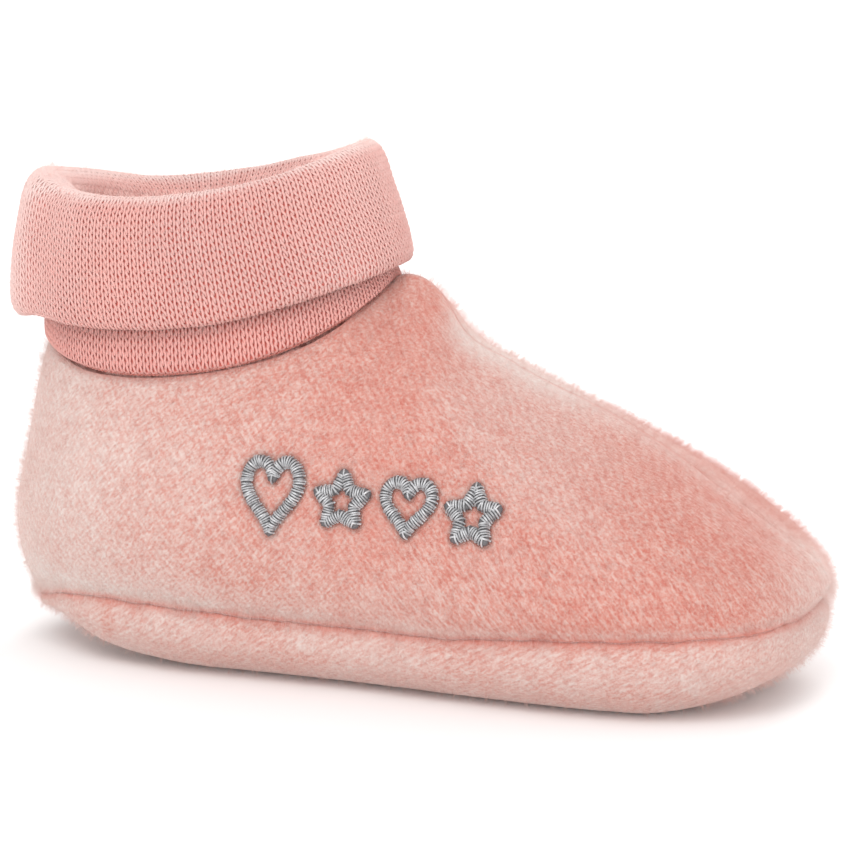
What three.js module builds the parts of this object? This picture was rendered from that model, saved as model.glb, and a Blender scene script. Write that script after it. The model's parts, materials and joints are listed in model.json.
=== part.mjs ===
// Infant bootie with a turn-down knitted rib cuff, as separate sewn pieces.
// Millimetres. +X runs heel to toe, +Z is up, the decorated outer side faces -Y.
// The soles rest on z = 0.
import * as THREE from 'three';

// ---------------------------------------------------------------- driving dimensions
const VELOUR = 2.0;            // pile fabric, pile included
const LOFT = 0.35;             // air between neighbouring layers
const BACKING = 0.5;           // embroidery stabiliser
const LINING = 1.0;            // jersey lining
const RIB = 1.4;               // doubled rib knit of neck and cuff
const SEAM_GAP = 0.5;          // half of the slot a seam line runs in
const THREAD_R = 0.28;         // sewing thread as laid in a seam
const SPLIT = 0.45;            // half of the slot between the two side panels

// sole seam line and its companion top line (neck seam, then centre of the instep), decorated side
// each row: seam point, lower shaping point, upper shaping point, top point (null: on the neck seam at the angle given)
const STATIONS = [
  [[-50.6, 0.0, 4.8], [-57.4, 0.0, 16.5], [-51.2, 0.0, 35.0], 180],
  [[-48.2, -9.5, 6.6], [-54.2, -13.6, 17.5], [-47.8, -11.8, 34.0], 150],
  [[-40.5, -17.3, 8.9], [-43.6, -23.3, 18.5], [-40.0, -19.2, 32.0], 120],
  [[-28.0, -20.4, 9.1], [-29.3, -27.0, 18.5], [-27.6, -22.0, 30.5], 92],
  [[-16.0, -20.7, 8.7], [-16.0, -27.6, 18.5], [-14.8, -22.3, 32.0], 64],
  [[-5.0, -21.2, 8.6], [-4.4, -28.0, 19.0], [-3.5, -20.0, 37.0], 36],
  [[3.0, -22.0, 8.7], [3.6, -28.7, 19.0], [1.6, -17.6, 41.6], 0],
  [[9.0, -22.7, 8.7], [9.5, -29.0, 19.0], [6.0, -16.4, 42.2], [2.8, 0, 49.6]],
  [[15.0, -23.4, 9.1], [15.3, -29.3, 18.5], [11.2, -15.8, 40.2], [8.2, 0, 43.9]],
  [[23.0, -24.1, 9.8], [22.8, -29.5, 18.0], [17.4, -15.8, 37.5], [15.6, 0, 39.4]],
  [[32.0, -24.3, 10.4], [31.5, -29.0, 17.5], [26.0, -15.8, 33.8], [24.6, 0, 35.6]],
  [[41.0, -22.8, 11.0], [40.5, -26.8, 17.5], [33.6, -14.8, 30.6], [32.6, 0, 31.9]],
  [[49.0, -17.5, 11.3], [49.6, -20.3, 17.6], [39.8, -10.4, 28.4], [37.6, 0, 29.2]],
  [[53.4, -9.5, 11.7], [56.4, -11.0, 17.9], [43.6, -5.5, 26.9], [40.2, 0, 27.7]],
  [[54.9, 0.0, 12.2], [58.9, 0.0, 17.8], [46.4, 0.0, 25.4], [41.8, 0, 26.8]],
];
const STEPS = 2;               // divisions between two stations
const ROWS = 7;                // divisions from sole seam to top line

// ankle tube: leans back towards the heel
const LEAN = 6 * Math.PI / 180;
const ANKLE = [-27.2, 0, 47.5];
const AROUND = 32;             // divisions round the ankle
const ROUND = 2.2;             // how square the tube is: 2 is an ellipse
const SEAM_HALF = [24.0, 17.5], SEAM_MID = 1.4;      // neck seam half length, half width, centre
const NECK_HALF = [21.4, 12.9], TUBE_MID = 0.95;     // straight part of the neck
const LEG_GAP = 0.35;                                // neck to the inner leg of the cuff
const CREST_HALF = [20.0, 11.5];                     // top of the rolled edge
const HEM_HALF = [26.9, 18.8], HEM_MID = 0.4;        // lower edge of the turned-down part
const NECK_BELOW_CREST = 3.2;
const LEG_DEPTH = 13.0;
const STRAIGHT_FROM = 5.0;     // the neck is straight above this height on its own axis

// sole
const BOTTOM_FLAT_IN = 9.0;    // the flat starts this far in from the seam line
const PAD_TOP = 7.0;
const HEEL_SPINE = -36, TOE_SPINE = 38;

// decoration: four satin-stitched outlines on the outer side
const MOTIF_T = 0.8, MOTIF_W = 1.3, MOTIF_GAP = 0.3;
const MOTIFS = [                                     // name, outline, centre x and z, half width, half height
  ['embroidered_heart_large', 'heart', -11.2, 25.3, 3.4, 4.5],
  ['embroidered_star_rear', 'star', -2.2, 25.3, 3.2, 3.3],
  ['embroidered_heart_small', 'heart', 6.2, 25.0, 3.0, 3.2],
  ['embroidered_star_front', 'star', 14.5, 24.6, 3.2, 3.3],
];
const PATCH_U = [7, 19], PATCH_T = [1, 5];           // stabiliser, in panel divisions

// ---------------------------------------------------------------- colours
const fabric = (hex, rough) => new THREE.MeshStandardMaterial({ color: hex, roughness: rough, metalness: 0 });
const SALMON = fabric(0xe9a396, 0.95), SALMON_LOW = fabric(0xe2b3a6, 0.95), KNIT = fabric(0xe6a59c, 0.9);
const JERSEY = fabric(0xeab5ab, 0.9), FOAM = fabric(0xf1ece2, 0.95), THREAD = fabric(0xd98f86, 0.7);
const SILVER = fabric(0xa9aeb1, 0.45), PAPER = fabric(0xf2f0ec, 0.95);

// ---------------------------------------------------------------- small vector helpers
const add = (a, b, k = 1) => [a[0] + k * b[0], a[1] + k * b[1], a[2] + k * b[2]];
const sub = (a, b) => add(a, b, -1);
const mul = (a, k) => [a[0] * k, a[1] * k, a[2] * k];
const cross = (a, b) => [a[1] * b[2] - a[2] * b[1], a[2] * b[0] - a[0] * b[2], a[0] * b[1] - a[1] * b[0]];
const len = (a) => Math.hypot(a[0], a[1], a[2]);
const unit = (a) => mul(a, 1 / (len(a) || 1));
const mix = (a, b, k) => add(mul(a, 1 - k), b, k);

// ---------------------------------------------------------------- ankle frame
const UP = [-Math.sin(LEAN), 0, Math.cos(LEAN)];
const FORE = [Math.cos(LEAN), 0, Math.sin(LEAN)];
const sgnPow = (v, p) => Math.sign(v) * Math.pow(Math.abs(v), p);
function ankle(theta, half, mid, w) {
  const c = Math.cos(theta), s = Math.sin(theta);
  const v = mid + half[0] * sgnPow(c, 2 / ROUND), y = half[1] * sgnPow(s, 2 / ROUND);
  return add(add(add(ANKLE, FORE, v), [0, 1, 0], y), UP, w);
}
const seamW = (t) => -1.6 + 1.4 * Math.cos(t) - 7.1 * Math.pow(Math.abs(Math.sin(t)), 1.3);
const hemW = (t) => 0.9 + 1.1 * Math.cos(t) - 3.9 * Math.sin(t) ** 2;
const crestW = (t) => 17.15 + 0.85 * Math.cos(t) - 3.5 * Math.sin(t) ** 2;
const neckSeam = (t) => ankle(t, SEAM_HALF, SEAM_MID, seamW(t));

// ---------------------------------------------------------------- upper surface
const NET = STATIONS.map(([b, p, q, t]) => [b, p, q, typeof t === 'number' ? neckSeam(-t * Math.PI / 180) : t]);
const LAST = NET.length - 1;
const flip = (p) => [p[0], -p[1], p[2]];
function control(i, k) {
  if (i < 0) return flip(NET[-i][k]);
  if (i > LAST) return flip(NET[2 * LAST - i][k]);
  return NET[i][k];
}
function along(u, k) {                       // smooth curve through the stations
  const i = Math.min(LAST - 1, Math.max(0, Math.floor(u))), f = u - i;
  const p0 = control(i - 1, k), p1 = control(i, k), p2 = control(i + 1, k), p3 = control(i + 2, k);
  const out = [0, 1, 2].map((c) => 0.5 * (2 * p1[c] + (p2[c] - p0[c]) * f
    + (2 * p0[c] - 5 * p1[c] + 4 * p2[c] - p3[c]) * f * f
    + (3 * p1[c] - p0[c] - 3 * p2[c] + p3[c]) * f * f * f));
  out[1] = Math.min(0, out[1]);
  return out;
}
function upper(u, t) {
  const [b, p, q, e] = [0, 1, 2, 3].map((k) => along(u, k)), s = 1 - t;
  return [0, 1, 2].map((c) => s * s * s * b[c] + 3 * s * s * t * p[c] + 3 * s * t * t * q[c] + t * t * t * e[c]);
}
const TIP = unit([0.5, 0, 0.866]);            // outward at the point where the toe ribs meet the instep line
function normal(u, t) {                      // outward
  if (u > 12 && t > 0.85) {
    const k = (t - 0.85) / 0.15, a = Math.min(1, u - 12);
    const ridge = u >= LAST ? TIP : unit(mix(normalAt(u, t), TIP, a * k));
    return unit(mix(normalAt(u, 0.85), ridge, k));
  }
  return normalAt(u, t);
}
function normalAt(u, t) {
  const h = 0.02, u0 = Math.max(0, u - h), u1 = Math.min(LAST, u + h), t0 = Math.max(0, t - h), t1 = Math.min(1, t + h);
  let n = unit(cross(sub(upper(u1, t), upper(u0, t)), sub(upper(u, t1), upper(u, t0))));
  if (u <= 0 || u >= LAST || (t >= 1 && u >= 6)) n = unit([n[0], 0, n[2]]);
  return n;
}
const skin = (u, t, depth) => add(upper(u, t), normal(u, t), -depth);

// ---------------------------------------------------------------- mesh building
class Faces {
  constructor() { this.p = []; this.f = []; }
  at(v) { this.p.push(v); return this.p.length - 1; }
  quad(a, b, c, d) { this.f.push([a, b, c], [a, c, d]); }
  mesh(name, material) {
    const key = new Map(), map = [], pos = [];
    this.p.forEach((v, i) => {
      const k = v.map((x) => Math.round(x * 1e4)).join();
      if (!key.has(k)) { key.set(k, pos.length / 3); pos.push(...v); }
      map[i] = key.get(k);
    });
    const tri = this.f.map((t) => t.map((i) => map[i])).filter(([a, b, c]) => a !== b && b !== c && a !== c);
    let vol = 0;
    const P = (i) => [pos[3 * i], pos[3 * i + 1], pos[3 * i + 2]];
    for (const [a, b, c] of tri) { const n = cross(P(b), P(c)), q = P(a); vol += q[0] * n[0] + q[1] * n[1] + q[2] * n[2]; }
    const idx = tri.flatMap(([a, b, c]) => (vol < 0 ? [a, c, b] : [a, b, c]));
    const g = new THREE.BufferGeometry();
    g.setAttribute('position', new THREE.Float32BufferAttribute(pos, 3));
    g.setIndex(idx);
    g.computeVertexNormals();
    const m = new THREE.Mesh(g, material);
    m.name = name;
    return m;
  }
}
function sheet(name, material, nu, nt, point, out, inn) {      // a curved plate between two depths
  const F = new Faces(), A = [], B = [];
  for (let i = 0; i <= nu; i++) {
    A.push([]); B.push([]);
    for (let j = 0; j <= nt; j++) { A[i].push(F.at(point(i, j, out))); B[i].push(F.at(point(i, j, inn))); }
  }
  for (let i = 0; i < nu; i++) for (let j = 0; j < nt; j++) {
    F.quad(A[i][j], A[i + 1][j], A[i + 1][j + 1], A[i][j + 1]);
    F.quad(B[i][j], B[i][j + 1], B[i + 1][j + 1], B[i + 1][j]);
  }
  for (let i = 0; i < nu; i++) {
    F.quad(A[i][0], B[i][0], B[i + 1][0], A[i + 1][0]);
    F.quad(A[i][nt], A[i + 1][nt], B[i + 1][nt], B[i][nt]);
  }
  for (let j = 0; j < nt; j++) {
    F.quad(A[0][j], A[0][j + 1], B[0][j + 1], B[0][j]);
    F.quad(A[nu][j], B[nu][j], B[nu][j + 1], A[nu][j + 1]);
  }
  return F.mesh(name, material);
}
function loop(name, material, n, section, closed) {            // a section carried round a ring
  const F = new Faces(), R = [];
  for (let i = 0; i < n; i++) R.push(section(i).map((v) => F.at(v)));
  for (let i = 0; i < n; i++) {
    const a = R[i], b = R[(i + 1) % n], m = a.length;
    for (let j = 0; j < (closed ? m : m - 1); j++) F.quad(a[j], b[j], b[(j + 1) % m], a[(j + 1) % m]);
  }
  return F.mesh(name, material);
}
function cord(name, material, pts, radius, ring) {             // thread along a path
  const F = new Faces(), n = pts.length, R = [];
  for (let i = 0; i < n; i++) {
    const a = ring ? pts[(i + n - 1) % n] : pts[Math.max(0, i - 1)], b = ring ? pts[(i + 1) % n] : pts[Math.min(n - 1, i + 1)];
    const d = unit(sub(b, a)), ref = Math.abs(d[2]) > 0.9 ? [1, 0, 0] : [0, 0, 1];
    const s = unit(cross(d, ref)), r = cross(s, d);
    R.push([0, 1, 2, 3].map((k) => F.at(add(add(pts[i], s, radius * Math.cos(k * Math.PI / 2)), r, radius * Math.sin(k * Math.PI / 2)))));
  }
  for (let i = 0; i < (ring ? n : n - 1); i++) for (let k = 0; k < 4; k++) {
    F.quad(R[i][k], R[(i + 1) % n][k], R[(i + 1) % n][(k + 1) % 4], R[i][(k + 1) % 4]);
  }
  if (!ring) {
    F.quad(R[0][0], R[0][1], R[0][2], R[0][3]);
    F.quad(R[n - 1][3], R[n - 1][2], R[n - 1][1], R[n - 1][0]);
  }
  return F.mesh(name, material);
}

// ---------------------------------------------------------------- side panels and linings
const NU = LAST * STEPS;
const side = (p, s) => [p[0], s * (p[1] - SPLIT), p[2]];
function rowOf(u, j, rows, first, last) {      // keep a seam slot at both ends of a rib
  const h = len(sub(upper(u, 1), upper(u, 0)));
  const t0 = first / h, t1 = 1 - (u <= 6 ? last / h : 0);
  return t0 + (t1 - t0) * j / rows;
}
const panel = (name, s) => sheet(name, SALMON, NU, ROWS,
  (i, j, d) => side(skin(i / STEPS, rowOf(i / STEPS, j, ROWS, SEAM_GAP, 0.7), d), s), 0, VELOUR);
const LINE_OUT = VELOUR + LOFT + BACKING + LOFT;
const lining = (name, s) => sheet(name, JERSEY, LAST, 5,
  (i, j, d) => side(skin(i, rowOf(i, j, 5, 1.6, 1.8), d), s), LINE_OUT, LINE_OUT + LINING);

// ---------------------------------------------------------------- sole pieces
const SOLE_N = 2 * NU;
function soleRing(i) {                          // seam point, inward plan direction, spine point
  const far = i > NU, u = (far ? SOLE_N - i : i) / STEPS, h = 0.05;
  const at = (x) => { const p = along(Math.min(LAST, Math.max(0, x)), 0); return p; };
  const p = at(u);
  let d = sub(at(u + h), at(u - h));
  if (u <= 0 || u >= LAST) d = [0, u <= 0 ? -1 : 1, 0];
  const inward = unit([-d[1], d[0], 0]);
  const spine = [Math.min(TOE_SPINE, Math.max(HEEL_SPINE, p[0] * 0.8)), 0, 0];
  const s = far ? -1 : 1;
  return { p: [p[0], s * p[1], p[2]], n: [inward[0], s * inward[1], 0], spine };
}
const inFrom = (r, d, z) => { const q = add(r.p, r.n, d); return [q[0], q[1], z]; };
const spineAt = (r, z) => [r.spine[0], 0, z];
function coverCurve(r, inset, floor, k) {       // rounded side of the sole at fraction k, seam to floor
  const top = r.p[2] - SEAM_GAP, s = 1 - k;
  const end = Math.max(0, (-34 - r.p[0]) / 17, (r.p[0] - 36) / 18);     // 1 at the heel and toe ends
  const flat = BOTTOM_FLAT_IN + 5 * end;
  const pts = [[inset, top], [inset - 1.5, top * 0.45 + floor * 0.6], [inset + 1.6 + 1.6 * end, floor], [flat, floor]];
  const d = s ** 3 * pts[0][0] + 3 * s * s * k * pts[1][0] + 3 * s * k * k * pts[2][0] + k ** 3 * pts[3][0];
  const z = s ** 3 * pts[0][1] + 3 * s * s * k * pts[1][1] + 3 * s * k * k * pts[2][1] + k ** 3 * pts[3][1];
  return inFrom(r, d, z);
}
const CURVE = [0, 0.25, 0.5, 0.75, 1];
const soleCover = loop('sole_velour_cover', SALMON_LOW, SOLE_N, (i) => {
  const r = soleRing(i);
  return [spineAt(r, 0), ...CURVE.map((k) => coverCurve(r, 0, 0, k)).reverse(),
    ...CURVE.map((k) => coverCurve(r, VELOUR, VELOUR, k)), spineAt(r, VELOUR)];
}, false);
const padTopAt = (r) => Math.max(3.4, Math.min(PAD_TOP + 1.2, r.p[2] - 2.2));
const padding = loop('sole_padding', FOAM, LAST * 2, (i) => {
  const r = soleRing(i * STEPS), top = padTopAt(r), lo = VELOUR + LOFT;
  return [spineAt(r, lo), coverCurve(r, lo + 0.1, lo, 1), coverCurve(r, lo + 0.1, lo, 0.7), coverCurve(r, lo + 0.1, lo, 0.4),
    inFrom(r, 3.4, top - 0.1), inFrom(r, 5.6, top + 0.1), inFrom(r, 8.0, (top + PAD_TOP) / 2), spineAt(r, PAD_TOP)];
}, false);
const insole = loop('insole_lining', JERSEY, LAST * 2, (i) => {
  const r = soleRing(i * STEPS), top = padTopAt(r) + 0.5, mid = PAD_TOP + 0.5;
  return [spineAt(r, mid), inFrom(r, 8.0, (top + mid) / 2), inFrom(r, 5.6, top + 0.25), inFrom(r, 5.6, top + 0.25 + LINING), inFrom(r, 8.0, (top + mid) / 2 + LINING), spineAt(r, mid + LINING)];
}, false);

// ---------------------------------------------------------------- neck and cuff
const turn = (i) => -2 * Math.PI * i / AROUND;
const shrink = (h, k) => [h[0] - k, h[1] - k];
const mixHalf = (a, b, k) => [a[0] + (b[0] - a[0]) * k, a[1] + (b[1] - a[1]) * k];
const neckTube = loop('cuff_neck', KNIT, AROUND, (i) => {
  const t = turn(i), lo = seamW(t) + SEAM_GAP, top = crestW(t) - NECK_BELOW_CREST;
  const bend = [[0, 0], [0.35, 0.16], [0.7, 0.66], [1, 1]];
  const wall = (k) => [...bend.map(([f, g]) => ankle(t, shrink(mixHalf(SEAM_HALF, NECK_HALF, g), k),
    SEAM_MID + (TUBE_MID - SEAM_MID) * g, lo + (STRAIGHT_FROM - lo) * f)), ankle(t, shrink(NECK_HALF, k), TUBE_MID, top)];
  return [...wall(0.15), ...wall(0.15 + RIB).reverse()];
}, true);
const legOut = shrink(NECK_HALF, 0.15 + RIB + LEG_GAP), legIn = shrink(legOut, RIB);
const cuff = loop('cuff_turndown', KNIT, AROUND, (i) => {
  const t = turn(i), hem = hemW(t), crest = crestW(t), H = crest - hem;
  const P = (half, mid, w) => ankle(t, half, mid, w);
  return [
    P(shrink(HEM_HALF, 0.9), HEM_MID, hem),
    P(shrink(HEM_HALF, 0.15), HEM_MID, hem + 0.7),
    P(HEM_HALF, HEM_MID, hem + 2.6),
    P(shrink(HEM_HALF, 0.6), HEM_MID, hem + H * 0.42),
    P(shrink(HEM_HALF, 1.7), HEM_MID, hem + H * 0.66),
    P([24.2, 15.7], 0.5, hem + H * 0.84),
    P([22.4, 13.8], 0.7, crest - 0.9),
    P(CREST_HALF, 0.9, crest),
    P([18.7, 10.2], TUBE_MID, crest - 0.7),
    P(legIn, TUBE_MID, crest - 2.6),
    P(legIn, TUBE_MID, crest - LEG_DEPTH),
    P(legOut, TUBE_MID, crest - LEG_DEPTH),
    P(legOut, TUBE_MID, crest - 2.9),
    P([20.3, 11.8], TUBE_MID, crest - 1.9),
    P([21.8, 13.3], 0.8, crest - 2.3),
    P([22.5, 14.1], 0.7, crest - 3.6),
    P(shrink(HEM_HALF, 3.5), 0.4, hem + H * 0.6),
    P(shrink(HEM_HALF, 2.3), HEM_MID, hem + H * 0.38),
    P(shrink(HEM_HALF, 1.7), HEM_MID, hem + 2.4),
    P(shrink(HEM_HALF, 1.6), HEM_MID, hem + 0.7),
  ];
}, true);

// ---------------------------------------------------------------- seams
const lift = 0.35;                              // threads lie just under the fabric surface
const solePath = [...Array(SOLE_N).keys()].map((i) => { const r = soleRing(i); return inFrom(r, lift + 0.25, r.p[2]); });
const soleThread = cord('sole_seam_thread', THREAD, solePath, THREAD_R, true);
const neckThread = cord('neck_seam_thread', THREAD, [...Array(AROUND).keys()].map((i) => {
  const t = turn(i); return ankle(t, shrink(SEAM_HALF, 0.7), SEAM_MID, seamW(t) + 0.02);
}), 0.24, true);
const instepPath = [];
for (let k = 0; k <= 8; k++) instepPath.push(skin(6 + k, 1, lift + 0.4));
for (const t of [0.8, 0.6, 0.4, 0.2, 0.06]) instepPath.push(skin(LAST, t, lift + 0.4));
const flat0 = (p) => [p[0], 0, p[2]];
const instepThread = cord('instep_seam_thread', THREAD, instepPath.slice(1).map(flat0), 0.24, false);
const heelPath = [0.06, 0.2, 0.35, 0.5, 0.65, 0.8, 0.95].map((t) => flat0(skin(0, t, lift + 0.4)));
const heelThread = cord('heel_seam_thread', THREAD, heelPath, 0.24, false);

// ---------------------------------------------------------------- decoration
function locate(x, z) {                         // surface parameters under a point of the side view
  let best = [1e9, 0, 0];
  let lo = [3, 0.1], hi = [12, 0.85];
  for (let pass = 0; pass < 6; pass++) {
    for (let a = 0; a <= 12; a++) for (let b = 0; b <= 12; b++) {
      const u = lo[0] + (hi[0] - lo[0]) * a / 12, t = lo[1] + (hi[1] - lo[1]) * b / 12, p = upper(u, t);
      const e = (p[0] - x) ** 2 + (p[2] - z) ** 2;
      if (e < best[0]) best = [e, u, t];
    }
    const su = (hi[0] - lo[0]) / 6, st = (hi[1] - lo[1]) / 6;
    lo = [Math.max(0, best[1] - su), Math.max(0.02, best[2] - st)]; hi = [best[1] + su, Math.min(0.98, best[2] + st)];
  }
  return [best[1], best[2]];
}
function strokeEdges(kind, r, rz) {             // outer and inner edge of the stitched stroke, point by point, never crossing
  const h = MOTIF_W / 2, pairs = [];
  if (kind === 'heart') {
    const n = 24, mid = 0.1 * rz;
    const at = (a) => [Math.sin(a) ** 3 * r, (13 * Math.cos(a) - 5 * Math.cos(2 * a) - 2 * Math.cos(3 * a) - Math.cos(4 * a) + 2.5) / 15 * rz - mid];
    for (let i = 0; i < n; i++) {
      const a = 2 * Math.PI * i / n, p = at(a), q0 = at(a - 0.13), q1 = at(a + 0.13);
      const rho = Math.hypot(p[0], p[1]), t = [q1[0] - q0[0], q1[1] - q0[1]], l = Math.hypot(t[0], t[1]);
      const cos = Math.abs(p[0] * t[1] - p[1] * t[0]) / (rho * l), k = h / Math.max(0.7, cos);
      const put = (s) => [p[0] * (1 + s / rho), p[1] * (1 + s / rho) + mid];
      pairs.push([put(k), put(-k)]);
    }
  } else {
    const star = (tip, notch) => [...Array(10)].map((_, i) => {
      const a = Math.PI / 2 - Math.PI * i / 5, q = i % 2 ? notch : tip;
      return [q * Math.cos(a), q * Math.sin(a) * rz / r];
    });
    const outer = star(r + 1.1 * h, 0.5 * r + 0.9 * h), inner = star(r - 1.9 * h, 0.5 * r - 0.95 * h);
    const half = (a, b) => [(a[0] + b[0]) / 2, (a[1] + b[1]) / 2];
    for (let i = 0; i < 10; i++) {
      const j = (i + 1) % 10;
      pairs.push([outer[i], inner[i]], [half(outer[i], outer[j]), half(inner[i], inner[j])]);
    }
  }
  return pairs;
}
function motif([name, kind, cx, cz, r, rz]) {
  const pairs = strokeEdges(kind, r, rz);
  return loop(name, SILVER, pairs.length, (i) => {
    const lay = (q, h) => {
      const [u, t] = locate(cx + q[0], cz + q[1]);
      return side(add(upper(u, t), normal(u, t), h), 1);
    };
    const [o, q] = pairs[i];
    return [lay(o, MOTIF_GAP), lay(o, MOTIF_GAP + MOTIF_T), lay(q, MOTIF_GAP + MOTIF_T), lay(q, MOTIF_GAP)];
  }, true);
}
const patch = sheet('embroidery_backing', PAPER, PATCH_U[1] - PATCH_U[0], PATCH_T[1] - PATCH_T[0],
  (i, j, d) => { const u = (PATCH_U[0] + i) / STEPS; return side(skin(u, rowOf(u, PATCH_T[0] + j, ROWS, SEAM_GAP, 0.7), d), 1); },
  VELOUR + LOFT, VELOUR + LOFT + BACKING);

// ---------------------------------------------------------------- assembly
const bootie = new THREE.Group();
bootie.name = 'infant_bootie';
bootie.add(
  panel('upper_outer_panel', 1), panel('upper_inner_panel', -1),
  lining('upper_lining_outer', 1), lining('upper_lining_inner', -1),
  soleCover, padding, insole,
  neckTube, cuff,
  neckThread, instepThread, heelThread, soleThread,
  patch, ...MOTIFS.map(motif),
);
// the part's box is centred on the origin in plan
const box = new THREE.Box3().setFromObject(bootie);
const shift = -(box.min.x + box.max.x) / 2;
bootie.children.forEach((m) => m.geometry.translate(shift, 0, 0));
bootie.userData.shift = shift;
export default bootie;
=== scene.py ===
import json
import math

import bpy
import numpy as np
from mathutils import Matrix, Vector


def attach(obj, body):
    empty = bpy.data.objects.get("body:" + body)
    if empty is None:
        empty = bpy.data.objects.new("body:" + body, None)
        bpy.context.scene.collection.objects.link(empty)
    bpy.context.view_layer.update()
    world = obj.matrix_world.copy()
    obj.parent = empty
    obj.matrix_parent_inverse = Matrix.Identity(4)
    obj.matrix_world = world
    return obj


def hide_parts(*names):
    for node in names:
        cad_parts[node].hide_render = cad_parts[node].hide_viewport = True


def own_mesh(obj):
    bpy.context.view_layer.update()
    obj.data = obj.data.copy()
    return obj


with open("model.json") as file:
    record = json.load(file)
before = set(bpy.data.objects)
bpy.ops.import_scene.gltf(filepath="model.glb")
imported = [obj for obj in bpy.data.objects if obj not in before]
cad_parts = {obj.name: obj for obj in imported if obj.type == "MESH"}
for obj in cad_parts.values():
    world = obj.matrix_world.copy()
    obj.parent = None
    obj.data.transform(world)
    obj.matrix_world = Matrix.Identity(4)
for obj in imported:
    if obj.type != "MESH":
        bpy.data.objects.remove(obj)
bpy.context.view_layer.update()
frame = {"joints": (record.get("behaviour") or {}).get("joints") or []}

rng = np.random.default_rng(7)
DX = -0.9185                      # the part's plan centring, mm

# ------------------------------------------------------------------ geometry of the part, mm
LEAN = math.radians(6)
ANKLE = np.array([-27.2, 0.0, 47.5])
UP = np.array([-math.sin(LEAN), 0, math.cos(LEAN)])
FORE = np.array([math.cos(LEAN), 0, math.sin(LEAN)])
ROUND = 2.2
SEAM_HALF, SEAM_MID = (24.0, 17.5), 1.4
NECK_HALF, TUBE_MID = (21.4, 12.9), 0.95
HEM_HALF, HEM_MID = (26.9, 18.8), 0.4
STATIONS = [
    [(-50.6, 0.0, 4.8), (-57.4, 0.0, 16.5), (-51.2, 0.0, 35.0), 180],
    [(-48.2, -9.5, 6.6), (-54.2, -13.6, 17.5), (-47.8, -11.8, 34.0), 150],
    [(-40.5, -17.3, 8.9), (-43.6, -23.3, 18.5), (-40.0, -19.2, 32.0), 120],
    [(-28.0, -20.4, 9.1), (-29.3, -27.0, 18.5), (-27.6, -22.0, 30.5), 92],
    [(-16.0, -20.7, 8.7), (-16.0, -27.6, 18.5), (-14.8, -22.3, 32.0), 64],
    [(-5.0, -21.2, 8.6), (-4.4, -28.0, 19.0), (-3.5, -20.0, 37.0), 36],
    [(3.0, -22.0, 8.7), (3.6, -28.7, 19.0), (1.6, -17.6, 41.6), 0],
    [(9.0, -22.7, 8.7), (9.5, -29.0, 19.0), (6.0, -16.4, 42.2), (2.8, 0, 49.6)],
    [(15.0, -23.4, 9.1), (15.3, -29.3, 18.5), (11.2, -15.8, 40.2), (8.2, 0, 43.9)],
    [(23.0, -24.1, 9.8), (22.8, -29.5, 18.0), (17.4, -15.8, 37.5), (15.6, 0, 39.4)],
    [(32.0, -24.3, 10.4), (31.5, -29.0, 17.5), (26.0, -15.8, 33.8), (24.6, 0, 35.6)],
    [(41.0, -22.8, 11.0), (40.5, -26.8, 17.5), (33.6, -14.8, 30.6), (32.6, 0, 31.9)],
    [(49.0, -17.5, 11.3), (49.6, -20.3, 17.6), (39.8, -10.4, 28.4), (37.6, 0, 29.2)],
    [(53.4, -9.5, 11.7), (56.4, -11.0, 17.9), (43.6, -5.5, 26.9), (40.2, 0, 27.7)],
    [(54.9, 0.0, 12.2), (58.9, 0.0, 17.8), (46.4, 0.0, 25.4), (41.8, 0, 26.8)],
]
LAST = len(STATIONS) - 1
MOTIFS = [
    ("embroidered_heart_large", "heart", -11.2, 25.3, 3.4, 4.5),
    ("embroidered_star_rear", "star", -2.2, 25.3, 3.2, 3.3),
    ("embroidered_heart_small", "heart", 6.2, 25.0, 3.0, 3.2),
    ("embroidered_star_front", "star", 14.5, 24.6, 3.2, 3.3),
]


def spow(v, p):
    return np.sign(v) * np.abs(v) ** p


def ankle(theta, half, mid, w):
    """Point on a leaning squarish tube round the ankle; every argument may be an array."""
    c, s = np.cos(theta), np.sin(theta)
    v = mid + half[0] * spow(c, 2 / ROUND)
    y = half[1] * spow(s, 2 / ROUND)
    return ANKLE + v[..., None] * FORE + y[..., None] * np.array([0, 1.0, 0]) + np.asarray(w)[..., None] * UP


def seam_w(t):
    return -1.6 + 1.4 * np.cos(t) - 7.1 * np.abs(np.sin(t)) ** 1.3


def hem_w(t):
    return 0.9 + 1.1 * np.cos(t) - 3.9 * np.sin(t) ** 2


def crest_w(t):
    return 17.15 + 0.85 * np.cos(t) - 3.5 * np.sin(t) ** 2


def neck_seam(t):
    t = np.asarray(t, float)
    return ankle(t, SEAM_HALF, SEAM_MID, seam_w(t))


NET = np.array([[b, p, q, tuple(neck_seam(np.array([-math.radians(t)]))[0]) if np.isscalar(t) else t]
                for b, p, q, t in STATIONS], float)
_mirror = np.array([1.0, -1.0, 1.0])
EXT = np.concatenate([NET[1:2] * _mirror, NET, NET[-2:-1] * _mirror])


def along(u):
    u = np.asarray(u, float)
    i = np.clip(np.floor(u).astype(int), 0, LAST - 1)
    f = (u - i)[:, None, None]
    p0, p1, p2, p3 = EXT[i], EXT[i + 1], EXT[i + 2], EXT[i + 3]
    out = 0.5 * (2 * p1 + (p2 - p0) * f + (2 * p0 - 5 * p1 + 4 * p2 - p3) * f ** 2 + (3 * p1 - p0 - 3 * p2 + p3) * f ** 3)
    out[..., 1] = np.minimum(0, out[..., 1])
    return out


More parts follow.
